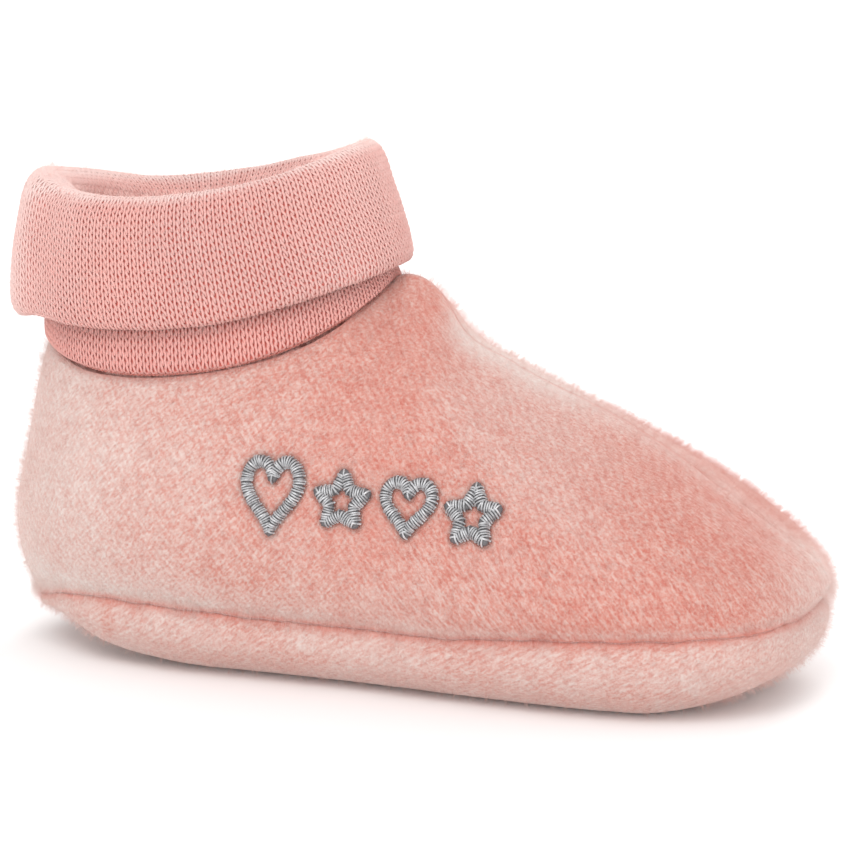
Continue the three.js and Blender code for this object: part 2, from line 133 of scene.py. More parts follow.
def upper(u, t):
    """Upper's outer surface on a grid: u along the sole seam, t up each rib."""
    c = along(u)[:, None]
    t = np.asarray(t, float)
    t = (t if t.ndim == 2 else np.broadcast_to(t, (len(u), len(t))))[..., None]
    s = 1 - t
    return s ** 3 * c[:, :, 0] + 3 * s * s * t * c[:, :, 1] + 3 * s * t * t * c[:, :, 2] + t ** 3 * c[:, :, 3]


# ------------------------------------------------------------------ noise
def _hash(ix, iy, iz, seed):
    h = (ix * 374761393 + iy * 668265263 + iz * 2147483647 + seed * 974711) & 0xFFFFFFFF
    h = ((h ^ (h >> 13)) * 1274126177) & 0xFFFFFFFF
    return ((h ^ (h >> 16)) & 0xFFFF) / 65535.0


def noise(p, size, seed=0):
    """Smooth value noise in -1..1 at points p, with bumps about size across."""
    q = np.asarray(p, float) / size
    i = np.floor(q).astype(np.int64)
    f = q - i
    f = f * f * (3 - 2 * f)
    out = 0
    for dx in (0, 1):
        for dy in (0, 1):
            for dz in (0, 1):
                w = np.where(dx, f[..., 0], 1 - f[..., 0]) * np.where(dy, f[..., 1], 1 - f[..., 1]) * np.where(dz, f[..., 2], 1 - f[..., 2])
                out = out + w * _hash(i[..., 0] + dx, i[..., 1] + dy, i[..., 2] + dz, seed)
    return out * 2 - 1


def fractal(p, size, octaves=3, seed=0):
    return sum(noise(p, size / 2 ** k, seed + k) / 2 ** k for k in range(octaves)) / (2 - 2 ** (1 - octaves))


def smooth(a, lo, hi):
    x = np.clip((np.asarray(a, float) - lo) / (hi - lo), 0, 1)
    return x * x * (3 - 2 * x)


def unit(v):
    return v / np.maximum(np.linalg.norm(v, axis=-1, keepdims=True), 1e-12)


# ------------------------------------------------------------------ meshes
def build(name, verts, quads, material, body, uv=None, colour=None, extra=(), smooth_shade=True, weld=True, group=None):
    """A mesh object from verts in mm and quads. uv: per quad corner. colour: per vertex, 0..1. group: (name, weight per vertex)."""
    verts = np.asarray(verts, float)
    quads = np.asarray(quads, np.int64)
    if weld:
        key = np.round(verts * 2e4).astype(np.int64)
        _, first, inv = np.unique(key, axis=0, return_index=True, return_inverse=True)
        inv = inv.ravel()
    else:
        first, inv = np.arange(len(verts)), np.arange(len(verts))
    v = verts[first] + [DX, 0, 0]
    q = inv[quads]
    keep = np.ones((len(q), 4), bool)
    for k in range(4):
        keep[:, k] = q[:, k] != q[:, (k + 1) % 4]
    n = keep.sum(1)
    bad = (n < 3) | (q[:, 0] == q[:, 2]) | (q[:, 1] == q[:, 3])
    keep[bad] = False
    n = keep.sum(1)
    loops = q[keep]
    sizes = n[n > 0]
    luv = None if uv is None else np.asarray(uv, float).reshape(-1, 4, 2)[keep]
    for poly in extra:
        poly = inv[np.asarray(poly)]
        poly = poly[np.concatenate([[True], poly[1:] != poly[:-1]])]
        loops = np.concatenate([loops, poly])
        sizes = np.append(sizes, len(poly))
        if luv is not None:
            luv = np.concatenate([luv, np.zeros((len(poly), 2))])
    starts = np.concatenate([[0], np.cumsum(sizes)[:-1]])
    # outward: signed volume from fans
    vol = 0.0
    for k in (3, 4):
        s = starts[sizes == k]
        for a, b in ((1, 2), (2, 3))[: k - 2]:
            p0, p1, p2 = v[loops[s]], v[loops[s + a]], v[loops[s + b]]
            vol += np.einsum("ij,ij->i", p0, np.cross(p1, p2)).sum()
    me = bpy.data.meshes.new(name)
    me.vertices.add(len(v))
    me.vertices.foreach_set("co", (v * 0.001).ravel())
    if vol < 0:
        order = np.concatenate([np.arange(s + k - 1, s - 1, -1) for s, k in zip(starts, sizes)])
        loops = loops[order]
        if luv is not None:
            luv = luv[order]
    me.loops.add(len(loops))
    me.loops.foreach_set("vertex_index", loops.astype(np.int32))
    me.polygons.add(len(sizes))
    me.polygons.foreach_set("loop_start", starts.astype(np.int32))
    me.polygons.foreach_set("use_smooth", np.full(len(sizes), smooth_shade))
    if luv is not None:
        me.uv_layers.new(name="UVMap").data.foreach_set("uv", luv.ravel())
    if colour is not None:
        c = np.ones((len(v), 4))
        c[:, : colour.shape[1]] = colour[first]
        a = me.color_attributes.new(name="nap", type="BYTE_COLOR", domain="CORNER")
        a.data.foreach_set("color", c[loops].ravel())
    me.update(calc_edges=True)
    me.validate()
    o = bpy.data.objects.new(name, me)
    bpy.context.scene.collection.objects.link(o)
    me.materials.append(material)
    for gname, gw in ([] if group is None else group):
        g = o.vertex_groups.new(name=gname)
        w = np.round(np.asarray(gw).ravel()[first] * 10).astype(int)
        for level in range(1, 11):
            ids = np.nonzero(w == level)[0]
            if len(ids):
                g.add(ids.tolist(), level / 10, "REPLACE")
    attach(o, body)
    return o


def grid_quads(n, m, close_u=False, close_v=False):
    i, j = np.meshgrid(np.arange(n if close_u else n - 1), np.arange(m if close_v else m - 1), indexing="ij")
    i, j = i.ravel(), j.ravel()
    i2, j2 = (i + 1) % n, (j + 1) % m
    return np.stack([i * m + j, i2 * m + j, i2 * m + j2, i * m + j2], 1)


def grid_uv(n, m, U, V, close_u=False, close_v=False):
    """Per-corner UVs that don't jump back at a closing column: U has n(+1) values or an (n+1, m) table."""
    i, j = np.meshgrid(np.arange(n if close_u else n - 1), np.arange(m if close_v else m - 1), indexing="ij")
    i, j = i.ravel(), j.ravel()
    U2 = U if U.ndim == 2 else np.repeat(U[:, None], V.shape[-1], 1)
    V2 = V if V.ndim == 2 else np.repeat(V[None], U2.shape[0], 0)
    P = np.stack([U2, V2], -1)
    return np.stack([P[i, j], P[i + 1, j], P[i + 1, j + 1], P[i, j + 1]], 1)


def vertex_normals(P, close_u=False, close_v=False):
    """Normals of a grid of points (n, m, 3)."""
    def diff(A, ax, closed):
        if closed:
            return np.roll(A, -1, ax) - np.roll(A, 1, ax)
        return np.gradient(A, axis=ax)
    return unit(np.cross(diff(P, 0, close_u), diff(P, 1, close_v)))


def resample(line, n):
    """n points evenly along a polyline (k, 3), by straight interpolation."""
    d = np.concatenate([[0], np.cumsum(np.linalg.norm(np.diff(line, axis=0), axis=1))])
    x = np.linspace(0, d[-1], n)
    return np.stack([np.interp(x, d, line[:, k]) for k in range(3)], 1)


def catmull(P, x, closed=False):
    """Smooth curve through P (k, ...) at parameters x in index units."""
    k = len(P)
    x = np.asarray(x, float)
    i = np.floor(x).astype(int)
    if not closed:
        i = np.clip(i, 0, k - 2)
    f = (x - i).reshape((-1,) + (1,) * (P.ndim - 1))
    at = (lambda j: P[np.mod(j, k)]) if closed else (lambda j: P[np.clip(j, 0, k - 1)])
    p0, p1, p2, p3 = at(i - 1), at(i), at(i + 1), at(i + 2)
    return 0.5 * (2 * p1 + (p2 - p0) * f + (2 * p0 - 5 * p1 + 4 * p2 - p3) * f ** 2 + (3 * p1 - p0 - 3 * p2 + p3) * f ** 3)


# ------------------------------------------------------------------ materials
def srgb(r, g, b, a=1.0):
    f = lambda c: c / 12.92 if c <= 0.04045 else ((c + 0.055) / 1.055) ** 2.4
    return (f(r / 255), f(g / 255), f(b / 255), a)


class Mat:
    """A node material, built with short calls."""

    def __init__(self, name, **sockets):
        self.m = bpy.data.materials.new(name)
        self.m.use_nodes = True
        self.t = self.m.node_tree
        self.b = self.t.nodes["Principled BSDF"]
        for k, v in sockets.items():
            self.b.inputs[k.replace("_", " ")].default_value = v
        self.co = self.t.nodes.new("ShaderNodeTexCoord")

    def link(self, a, b):
        self.t.links.new(a, b)

    def put(self, sock, v):
        if hasattr(v, "links") or hasattr(v, "is_linked"):
            self.link(v, sock)
        else:
            sock.default_value = v

    def math(self, op, a, b=0.0, c=0.0, clamp=False):
        n = self.t.nodes.new("ShaderNodeMath")
        n.operation = op
        n.use_clamp = clamp
        for s, v in zip(n.inputs, (a, b, c)):
            self.put(s, v)
        return n.outputs[0]

    def noise(self, scale, detail=2.0, rough=0.5, vec=None, distortion=0.0):
        n = self.t.nodes.new("ShaderNodeTexNoise")
        n.inputs["Scale"].default_value = scale
        n.inputs["Detail"].default_value = detail
        n.inputs["Roughness"].default_value = rough
        n.inputs["Distortion"].default_value = distortion
        self.link(vec if vec is not None else self.co.outputs["Object"], n.inputs["Vector"])
        return n.outputs["Fac"]

    def ramp(self, fac, *stops):
        n = self.t.nodes.new("ShaderNodeValToRGB")
        e = n.color_ramp.elements
        while len(e) < len(stops):
            e.new(0.5)
        for el, (pos, col) in zip(e, stops):
            el.position = pos
            el.color = col if len(col) == 4 else (*col, 1)
        self.link(fac, n.inputs[0])
        return n.outputs["Color"]

    def mix(self, fac, a, b, mode="MIX"):
        n = self.t.nodes.new("ShaderNodeMix")
        n.data_type = "RGBA"
        n.blend_type = mode
        self.put(n.inputs[0], fac)
        self.put(n.inputs[6], a)
        self.put(n.inputs[7], b)
        return n.outputs[2]

    def attr(self, name):
        n = self.t.nodes.new("ShaderNodeAttribute")
        n.attribute_name = name
        s = self.t.nodes.new("ShaderNodeSeparateColor")
        self.link(n.outputs["Color"], s.inputs[0])
        return s.outputs

    def bump(self, height, distance, strength=1.0, base=None):
        n = self.t.nodes.new("ShaderNodeBump")
        n.inputs["Distance"].default_value = distance
        n.inputs["Strength"].default_value = strength
        self.link(height, n.inputs["Height"])
        if base is not None:
            self.link(base, n.inputs["Normal"])
        self.link(n.outputs[0], self.b.inputs["Normal"])
        return n.outputs[0]

    def map(self, scale, rot=(0, 0, 0)):
        n = self.t.nodes.new("ShaderNodeMapping")
        n.inputs["Scale"].default_value = scale
        n.inputs["Rotation"].default_value = rot
        self.link(self.co.outputs["Object"], n.inputs["Vector"])
        return n.outputs[0]


DIM = (0.68, 0.765, 0.77, 1.0)       # dyed cloth against the open colours below


def velour(name, plain_, pale_, deep_, rear, front, hair=False):
    """Each colour set is (foot, middle, tip) of the pile. rear, front: slope of the nap in degrees, left and right of the instep."""
    m = Mat(name, Roughness=0.95, IOR=1.4)
    m.b.inputs["Specular IOR Level"].default_value = 0.1
    nap = m.attr("nap")

    def streak(slope, along=0.00105, across=0.00034, detail=2.5):
        n = m.t.nodes.new("ShaderNodeMapping")
        n.vector_type = "TEXTURE"
        n.inputs["Rotation"].default_value = (0, -math.radians(slope), 0)
        n.inputs["Scale"].default_value = (along, across, across)
        m.link(m.co.outputs["Object"], n.inputs["Vector"])
        return m.noise(1.0, detail, 0.6, n.outputs[0], 0.35)

    sep = m.t.nodes.new("ShaderNodeSeparateXYZ")
    m.link(m.co.outputs["Object"], sep.inputs[0])
    side = m.t.nodes.new("ShaderNodeMapRange")
    side.interpolation_type = "SMOOTHSTEP"
    for k, v in (("From Min", -0.012), ("From Max", 0.012)):
        side.inputs[k].default_value = v
    m.link(sep.outputs[0], side.inputs["Value"])
    mixv = lambda f, p, q: m.math("ADD", m.math("MULTIPLY", p, m.math("SUBTRACT", 1.0, f)), m.math("MULTIPLY", q, f))
    st = mixv(side.outputs[0], streak(rear), streak(front))
    grain = m.noise(3000, 2, 0.6)
    soft = m.noise(420, 2, 0.5)
    # fine ranks of tufts across the nap
    n = m.t.nodes.new("ShaderNodeMapping")
    n.vector_type = "TEXTURE"
    n.inputs["Rotation"].default_value = (0, -math.radians(front), 0)
    n.inputs["Scale"].default_value = (0.004, 0.0008, 0.0008)
    m.link(m.co.outputs["Object"], n.inputs["Vector"])
    w = m.t.nodes.new("ShaderNodeTexWave")
    w.bands_direction = "Z"
    w.inputs["Scale"].default_value = 0.32
    w.inputs["Distortion"].default_value = 3.2
    w.inputs["Detail"].default_value = 2
    w.inputs["Detail Scale"].default_value = 1.6
    m.link(n.outputs[0], w.inputs["Vector"])
    v = m.math("ADD", m.math("MULTIPLY", st, 0.50), m.math("MULTIPLY", grain, 0.38))
    v = m.math("ADD", v, m.math("MULTIPLY", soft, 0.12))
    v = m.math("ADD", v, m.math("MULTIPLY", m.math("SUBTRACT", w.outputs["Fac"], 0.5), 0.05))

    def three(cols):
        cols = [tuple(x * d for x, d in zip(c, (0.85, 0.89, 0.89, 1.0) if hair else DIM)) for c in cols]
        return m.ramp(v, (0.385, cols[0]), (0.50, cols[1]), (0.615, cols[2]))

    blotch = m.ramp(m.noise(120, 3, 0.55), (0.38, (0, 0, 0)), (0.66, (0.2, 0.2, 0.2)))
    c = m.mix(blotch, three(plain_), three(pale_))
    # nap[1] is the deep nap of the pile; on the sole it also carries painted shadow under the overhanging upper
    c = m.mix(nap[1], c, three(deep_))
    # nap[0] is the pale nap of the pile, plus painted sheen on the instep ridge and toe tip and painted light along the
    # hem
    c = m.mix(nap[0], c, three(pale_))
    if not hair:
        m.b.inputs["Sheen Weight"].default_value = 0.75
        m.b.inputs["Sheen Roughness"].default_value = 0.36
        m.b.inputs["Sheen Tint"].default_value = srgb(255, 236, 230)
        m.bump(v, 0.0005, 0.55)
    # nap[2] mixes in painted shade: the seam creases and the inside faces
    c = m.mix(nap[2], c, srgb(205, 128, 114))
    m.link(c, m.b.inputs["Base Color"])
    if hair:                                   # light passes through the short strands
        tr = m.t.nodes.new("ShaderNodeBsdfTranslucent")
        m.link(c, tr.inputs["Color"])
        mx = m.t.nodes.new("ShaderNodeMixShader")
        mx.inputs[0].default_value = 0.42
        out = next(n for n in m.t.nodes if n.type == "OUTPUT_MATERIAL")
        m.link(m.b.outputs[0], mx.inputs[1])
        m.link(tr.outputs[0], mx.inputs[2])
        m.link(mx.outputs[0], out.inputs["Surface"])
    return m.m


def m_mix(a, b, k):
    return tuple(x * (1 - k) + y * k for x, y in zip(a, b))


PLAIN = (srgb(222, 137, 123), srgb(233, 170, 158), srgb(241, 199, 190))
PALE = (srgb(236, 194, 185), srgb(240, 211, 204), srgb(247, 226, 220))
DEEP = (srgb(219, 122, 107), srgb(230, 152, 138), srgb(237, 179, 167))
LIGHTER = lambda cols, k: tuple(m_mix(c, srgb(250, 236, 231), k) for c in cols)
velour_mat = velour("velour_cloth", PLAIN, PALE, DEEP, 48, -52)
velour_pile = velour("velour_pile", LIGHTER(PLAIN, 0.35), LIGHTER(PALE, 0.5), LIGHTER(DEEP, 0.2), 48, -52, hair=True)
sole_mat = velour("sole_cloth", LIGHTER(PLAIN, 0.12), PALE, PLAIN, 45, 30)
sole_pile = velour("sole_pile", LIGHTER(PLAIN, 0.35), LIGHTER(PALE, 0.5), LIGHTER(PLAIN, 0.25), 45, 30, hair=True)


def yarn_material():
    """Soft spun cotton yarn; nap[0] pales it with painted highlight, nap[1] darkens it with painted shade: the dark
    ground seen between the stitches, and the neck under the cuff.
    """
    m = Mat("rib_yarn", Roughness=0.9, IOR=1.4)
    m.b.inputs["Specular IOR Level"].default_value = 0.15
    m.b.inputs["Sheen Weight"].default_value = 0.2
    m.b.inputs["Sheen Roughness"].default_value = 0.45
    m.b.inputs["Sheen Tint"].default_value = srgb(255, 226, 218)
    nap = m.attr("nap")
    fib = m.noise(4200, 3, 0.65)
    big = m.noise(85, 3, 0.55)
    c = m.ramp(fib, (0.28, srgb(211, 144, 136)), (0.62, YARN))
    c = m.mix(m.ramp(big, (0.35, (0, 0, 0)), (0.65, (0.4, 0.4, 0.4))), c, srgb(224, 166, 157))
    # painted highlight on the cuff rim, fold and ends
    c = m.mix(nap[0], c, srgb(223, 198, 193))
    # painted shade between the stitches and on the neck under the cuff
    c = m.mix(nap[1], c, srgb(214, 116, 106))
    m.link(c, m.b.inputs["Base Color"])
    m.bump(fib, 0.00006, 0.8)
    return m.m


YARN = srgb(210, 171, 165)
yarn_mat = yarn_material()
fuzz = Mat("rib_fuzz", Roughness=0.9)
fuzz.b.inputs["Specular IOR Level"].default_value = 0.1
fuzz_n = fuzz.noise(300, 2, 0.5)
fuzz.link(fuzz.ramp(fuzz_n, (0.3, srgb(240, 200, 192)), (0.7, srgb(248, 224, 218))), fuzz.b.inputs["Base Color"])


def plain(name, base, other, scale, rough=0.9, bump=0.0001, sheen=0.2):
    m = Mat(name, Roughness=rough)
    m.b.inputs["Specular IOR Level"].default_value = 0.2
    m.b.inputs["Sheen Weight"].default_value = sheen
    n = m.noise(scale, 3, 0.6)
    m.link(m.ramp(n, (0.3, base), (0.7, other)), m.b.inputs["Base Color"])
    m.bump(n, bump, 0.8)
    return m.m


lining_mat = plain("jersey_lining", srgb(232, 170, 160), srgb(240, 186, 176), 1500)
foam_mat = plain("wadding", srgb(240, 236, 226), srgb(250, 247, 240), 700, bump=0.0004)
thread_mat = plain("sewing_thread", srgb(206, 120, 108), srgb(226, 150, 138), 3000, rough=0.6)
backing_mat = plain("stabiliser", srgb(240, 238, 232), srgb(250, 249, 245), 1800)


def silver():
    m = Mat("satin_grey_thread", Roughness=0.38)
    m.b.inputs["Specular IOR Level"].default_value = 0.55
    m.b.inputs["Metallic"].default_value = 0.15
    nap = m.attr("nap")
    n = m.noise(1500, 2, 0.5)
    c = m.ramp(n, (0.3, srgb(144, 144, 146)), (0.52, srgb(186, 186, 188)), (0.74, srgb(218, 218, 219)))
    c = m.mix(m.math("MULTIPLY", nap[1], 0.45), c, srgb(131, 130, 132))
    # nap[0] marks the padding band, coloured dark as painted shade between the satin stitches
    c = m.mix(nap[0], c, srgb(98, 96, 98))
    m.link(c, m.b.inputs["Base Color"])
    m.bump(m.noise(9000, 2, 0.5), 0.00003, 0.6)
    return m.m


silver_mat = silver()

# ------------------------------------------------------------------ decoration outlines, on the surface
def locate(x, z):
    """(u, t) under points of the side view, by a table and a few Newton steps."""
    x, z = np.atleast_1d(x).astype(float), np.atleast_1d(z).astype(float)
    U, T = np.linspace(3, 12, 181), np.linspace(0.05, 0.9, 86)
    G = upper(U, T)
    e = (G[None, ..., 0] - x[:, None, None]) ** 2 + (G[None, ..., 2] - z[:, None, None]) ** 2
    k = e.reshape(len(x), -1).argmin(1)
    u, t = U[k // len(T)], T[k % len(T)]
    for _ in range(5):
        P = np.stack([upper(np.array([a]), np.array([b]))[0, 0] for a, b in zip(u, t)])
        Pu = np.stack([upper(np.array([a + 1e-3]), np.array([b]))[0, 0] for a, b in zip(u, t)])
        Pt = np.stack([upper(np.array([a]), np.array([b + 1e-3]))[0, 0] for a, b in zip(u, t)])
        A, B = (Pu - P) / 1e-3, (Pt - P) / 1e-3
        rx, rz = x - P[:, 0], z - P[:, 2]
        det = A[:, 0] * B[:, 2] - A[:, 2] * B[:, 0]
        u = u + (rx * B[:, 2] - rz * B[:, 0]) / det
        t = t + (A[:, 0] * rz - A[:, 2] * rx) / det
    return u, t


def outline(kind, r, rz, n):
    """Closed path of a motif, n points evenly spaced, in its own plane."""
    if kind == "heart":
        a = np.linspace(0, 2 * np.pi, 721)[:-1]
        p = np.stack([np.sin(a) ** 3 * r, (13 * np.cos(a) - 5 * np.cos(2 * a) - 2 * np.cos(3 * a) - np.cos(4 * a) + 2.5) / 15 * rz], 1)
    else:
        k = np.arange(10)
        q = np.where(k % 2, 0.5 * r, r)
        a = np.pi / 2 - np.pi * k / 5
        c = np.stack([q * np.cos(a), q * np.sin(a) * rz / r], 1)
        f = np.linspace(0, 1, 40, endpoint=False)[:, None]
        p = np.concatenate([c[i] * (1 - f) + c[(i + 1) % 10] * f for i in range(10)])
    d = np.linalg.norm(np.roll(p, -1, 0) - p, axis=1)
    s = np.concatenate([[0], np.cumsum(d)])
    x = np.linspace(0, s[-1], n, endpoint=False)
    pp = np.vstack([p, p[:1]])
    return np.stack([np.interp(x, s, pp[:, 0]), np.interp(x, s, pp[:, 1])], 1), s[-1]


def surface_table():
    """Position and outward normal of the decorated side around the motifs, for quick reading by (x, z)."""
    u, t = np.linspace(2.5, 11, 240), np.linspace(0.08, 0.85, 140)
    P = upper(u, t)
    N = vertex_normals(P)
    if N[120, 60, 1] > 0:
        N = -N
    return P, N


TAB_P, TAB_N = surface_table()


def on_side(x, z, lift):
    """Points lift mm above the decorated panel, over (x, z) of the side view."""
    x, z = np.atleast_1d(x), np.atleast_1d(z)
    flat = TAB_P.reshape(-1, 3)
    out = np.empty((len(x), 3))
    nrm = TAB_N.reshape(-1, 3)
    for s in range(0, len(x), 400):
        e = (flat[None, :, 0] - x[s:s + 400, None]) ** 2 + (flat[None, :, 2] - z[s:s + 400, None]) ** 2
        k = np.argpartition(e, 4, axis=1)[:, :4]
        w = 1 / (np.take_along_axis(e, k, 1) + 1e-4)
        w /= w.sum(1, keepdims=True)
        P = (flat[k] * w[..., None]).sum(1)
        N = unit((nrm[k] * w[..., None]).sum(1))
        P[:, 0], P[:, 2] = x[s:s + 400], z[s:s + 400]
        out[s:s + 400] = P + N * (np.broadcast_to(lift, x.shape)[s:s + 400, None])
    return out


# where the stitched strokes press the pile down (side-view distance to the nearest stroke centre)
STROKES = np.concatenate([outline(k, r, rz, 160)[0] + [cx, cz] for _, k, cx, cz, r, rz in MOTIFS])


def stroke_distance(P):
    d = np.full(P.shape[:-1], 99.0)
    near = (P[..., 0] > -18) & (P[..., 0] < 21) & (P[..., 2] > 17) & (P[..., 2] < 34) & (P[..., 1] < -5)
    q = P[near]
    out = np.empty(len(q))
    for s in range(0, len(q), 4000):
        e = (q[s:s + 4000, None, 0] - STROKES[None, :, 0]) ** 2 + (q[s:s + 4000, None, 2] - STROKES[None, :, 1]) ** 2
        out[s:s + 4000] = np.sqrt(e.min(1))
    d[near] = out
    return d


# ------------------------------------------------------------------ velour side panels
def even_u(n, t=0.45):
    """u values evenly spaced along the panel."""
    u = np.linspace(0, LAST, 1401)
    P = 0.5 * (upper(u, [t])[:, 0] + upper(u, [0.1])[:, 0])
    s = np.concatenate([[0], np.cumsum(np.linalg.norm(np.diff(P, axis=0), axis=1))])
    return np.interp(np.linspace(0, s[-1], n), s, u)


def seam_wave(p):
    """The sole seam isn't quite straight: both cloths follow it."""
    return 0.14 * noise(p, 3.1, 71) + 0.10 * noise(p, 1.2, 72)


def crease(p):
    """How far the seam sits inside the outline."""
    return 0.72 + 0.12 * noise(p, 1.7, 73) + 0.40 * smooth(-p[:, 0], 40, 50) - 0.40 * smooth(p[:, 0], 42, 54)


def nap_map(P, N, up):
    """Pale and deep shares of the pile colour at points P (mm): the nap of the fabric, plus painted sheen in the pale
    share on the instep ridge and at the toe tip.
    """
    x, z, y = P[..., 0], P[..., 2], P[..., 1]
    b = fractal(P, 9, 3, 11)
    b2 = fractal(P * [1, 1, 1.8], 4.5, 2, 23)
    heel = smooth(-x, 12, 42) * (0.54 + 0.2 * b)
    # ridge: pale nap along the instep ridge with painted sheen on it; its last term is painted sheen at the toe tip
    ridge = smooth(-np.abs(y), -8.5 + 0.08 * x, -1.2) * smooth(x, 3.5, 9) * (0.72 - 0.50 * smooth(x, 15, 27)) * (1 + 0.25 * b2) + 0.42 * smooth(x, 48, 58)
    shoulder = smooth(x, 3, 17) * smooth(-x, -38, -20) * smooth(z - (44 - 0.62 * x), -8.5, -1.0) * (0.30 + 0.25 * b)
    tuft = smooth(-z, -14.5, -9.5) * smooth(-x, -25, 20) * (0.4 + 0.3 * b2)
    pale = np.clip(heel + ridge + np.maximum(shoulder, 0) + tuft * 0.7, 0, 0.95)
    toe = smooth(x, 8, 30) * (1 - 0.45 * smooth(x, 47, 56)) * (0.70 + 0.3 * b) * (1 - ridge)
    mid = smooth(-np.abs(x - 3), -24, 0) * smooth(z, 12, 24) * (0.70 + 0.2 * b2)
    deep = np.clip(toe + np.maximum(mid, 0), 0, 0.85) * (1 - 0.8 * pale)
    return pale, deep


def panel(name, side):
    n, rows = 470, 138
    u = even_u(n)
    rib = np.linalg.norm(np.diff(upper(u, np.linspace(0, 1, 24)), axis=1), axis=2).sum(1)
    t = np.linspace(0, 1, rows)[None] * np.ones((n, 1))
    P = upper(u, t)
    # even out the small kinks left by the control net
    for _ in range(60):
        Q = P.copy()
        Q[1:-1, 1:-1] += 0.22 * (P[:-2, 1:-1] + P[2:, 1:-1] + P[1:-1, :-2] + P[1:-1, 2:] - 4 * P[1:-1, 1:-1])
        P = Q
    N = vertex_normals(P)
    if (N[n // 2, rows // 3, 1] > 0):
        N = -N
    N[0, :, 1] = 0
    N[-1, :, 1] = 0
    N[(u >= 6), -1, 1] = 0
    N = unit(N)
    # the toe end of the ridge is a corner of the pattern: let the cloth run round it smoothly
    c = N[-40:, -30:]
    for _ in range(160):
        e = np.pad(c, ((1, 1), (1, 1), (0, 0)), mode="edge")
        e = 0.5 * c + 0.125 * (e[:-2, 1:-1] + e[2:, 1:-1] + e[1:-1, :-2] + e[1:-1, 2:])
        e[0], e[:, 0] = c[0], c[:, 0]
        e[-1, :, 1] = e[:, -1, 1] = 0
        c = unit(e)
    N[-40:, -30:] = c
    # soft hand-made unevenness
    D = -0.62 + 0.22 * fractal(P, 17, 2, 3) + 0.08 * fractal(P, 6, 2, 5)
    D -= 0.35 * smooth(-P[..., 0], 34, 52) + 0.2 * smooth(P[..., 0], 25, 45)
    X_, Z_ = P[..., 0], P[..., 2]
    D += 0.35 * smooth(Z_, 40, 46) * smooth(X_, -12, -4) * smooth(-X_, -6, 0)
    D -= 0.35 * np.exp(-((X_ - 5.0) / 6.0) ** 2) * smooth(Z_, 38, 43) * smooth(P[..., 1], -12, -5)
    D -= 0.8 * np.exp(-((Z_ - 27) / 8.0) ** 2) * smooth(-X_, 38, 50)
    D += 0.3 * smooth(X_, 8, 14) * smooth(P[..., 1], -10, -3) * smooth(-X_, -38, -29)
    D -= 1.1 * smooth(X_, 36, 47) * smooth(Z_, 17.0, 22) * smooth(P[..., 1], -13, -5)
    D += 0.75 * smooth(X_, 48, 56) * smooth(-Z_, -17.5, -13)
    D += 0.65 * smooth(Z_, 40.5, 47) * smooth(X_, -8, -1) * smooth(-X_, -11, -4) * smooth(P[..., 1], -9, -2)
    # small tufts of pile as fine bumps
    D += 0.04 * noise(P, 0.7, 31) + 0.03 * noise(P, 1.5, 37)
    # seams pull the cloth in
    edge_lo = t * rib[:, None]
    edge_hi = (1 - t) * rib[:, None]
    ridge_seam = (u >= 6)[:, None]
    fade_u0 = smooth(u, 0, 0.5)[:, None]
    D -= 0.10 * np.exp(-(edge_lo / 0.8) ** 2)
    D -= np.where(ridge_seam, 0.10, 0.35) * np.exp(-(edge_hi / np.where(ridge_seam, 0.7, 0.8)) ** 2)
    d0 = np.linalg.norm(P - P[:1], axis=2)
    d1 = np.linalg.norm(P - P[-1:], axis=2)
    D -= (0.20 * np.exp(-(d0 / 0.7) ** 2) + 0.16 * np.exp(-(d1 / 0.7) ** 2)) * (1 - smooth(t, 0.8, 0.97))
    sd = stroke_distance(P) if side < 0 else np.full(P.shape[:-1], 99.0)
    D -= 0.35 * (1 - smooth(sd, 0.5, 1.3))
    S = P + N * D[..., None]
    # the two cloths meet in a shallow crease along the sole seam
    base = P[:, 0]
    dd = np.gradient(base, axis=0)
    inn = unit(np.stack([-dd[:, 1], dd[:, 0], 0 * dd[:, 0]], 1))
    inn[0], inn[-1] = (1, 0, 0), (-1, 0, 0)
    back_off = crease(base)[:, None]
    lip = base + inn * back_off - [0, 0, 0.006] + [0, 0, 1.0] * seam_wave(base)[:, None]
    S = S + (lip - S[:, 0])[:, None] * np.exp(-(edge_lo / 0.65) ** 2)[..., None]
    pale, deep = nap_map(P, N, UP)
    # the cloth turns in at both seams, then the inside face
    inner = lambda k, depth: S[:, k] - N[:, k] * depth + 0.0
    lo = [S[:, 0] + inn * d + [0, 0, h] for d, h in ((0.14, 0.26), (0.6, 0.34))]
    hi = [S[:, -1] - N[:, -1] * d for d in (0.25, 0.5)]
    ks = np.linspace(rows - 4, 4, 9).astype(int)
    depth = np.maximum(1.9, 0.85 - D)
    back = [(P - N * depth[..., None])[:, k] for k in ks]
    loop = np.concatenate([S, np.stack(hi, 1), np.stack(back, 1), np.stack(lo[::-1], 1)], 1)
    m = loop.shape[1]
    gap = np.full(m, 0.32)
    gap[:rows] = 0.006
    gap[rows] = gap[-1] = 0.03
    loop[..., 1] = np.minimum(loop[..., 1], -gap[None])
    if side > 0:
        loop[..., 1] *= -1
    col = np.zeros((n, m, 3))
    # the pale band above the sole seam: pale tufts, plus painted light that offsets the shade where the cloth turns in
    hem_pale_and_painted_light = (0.28 + 0.24 * smooth(-P[..., 0], -12, 30)) * np.exp(-((edge_lo - 1.1) / 1.0) ** 2) * (0.8 + 0.6 * noise(P, 1.6, 47))
    col[:, :rows, 0] = np.clip(pale + hem_pale_and_painted_light, 0, 0.95)
    col[:, :rows, 1] = deep * (1 - np.clip(hem_pale_and_painted_light, 0, 1))
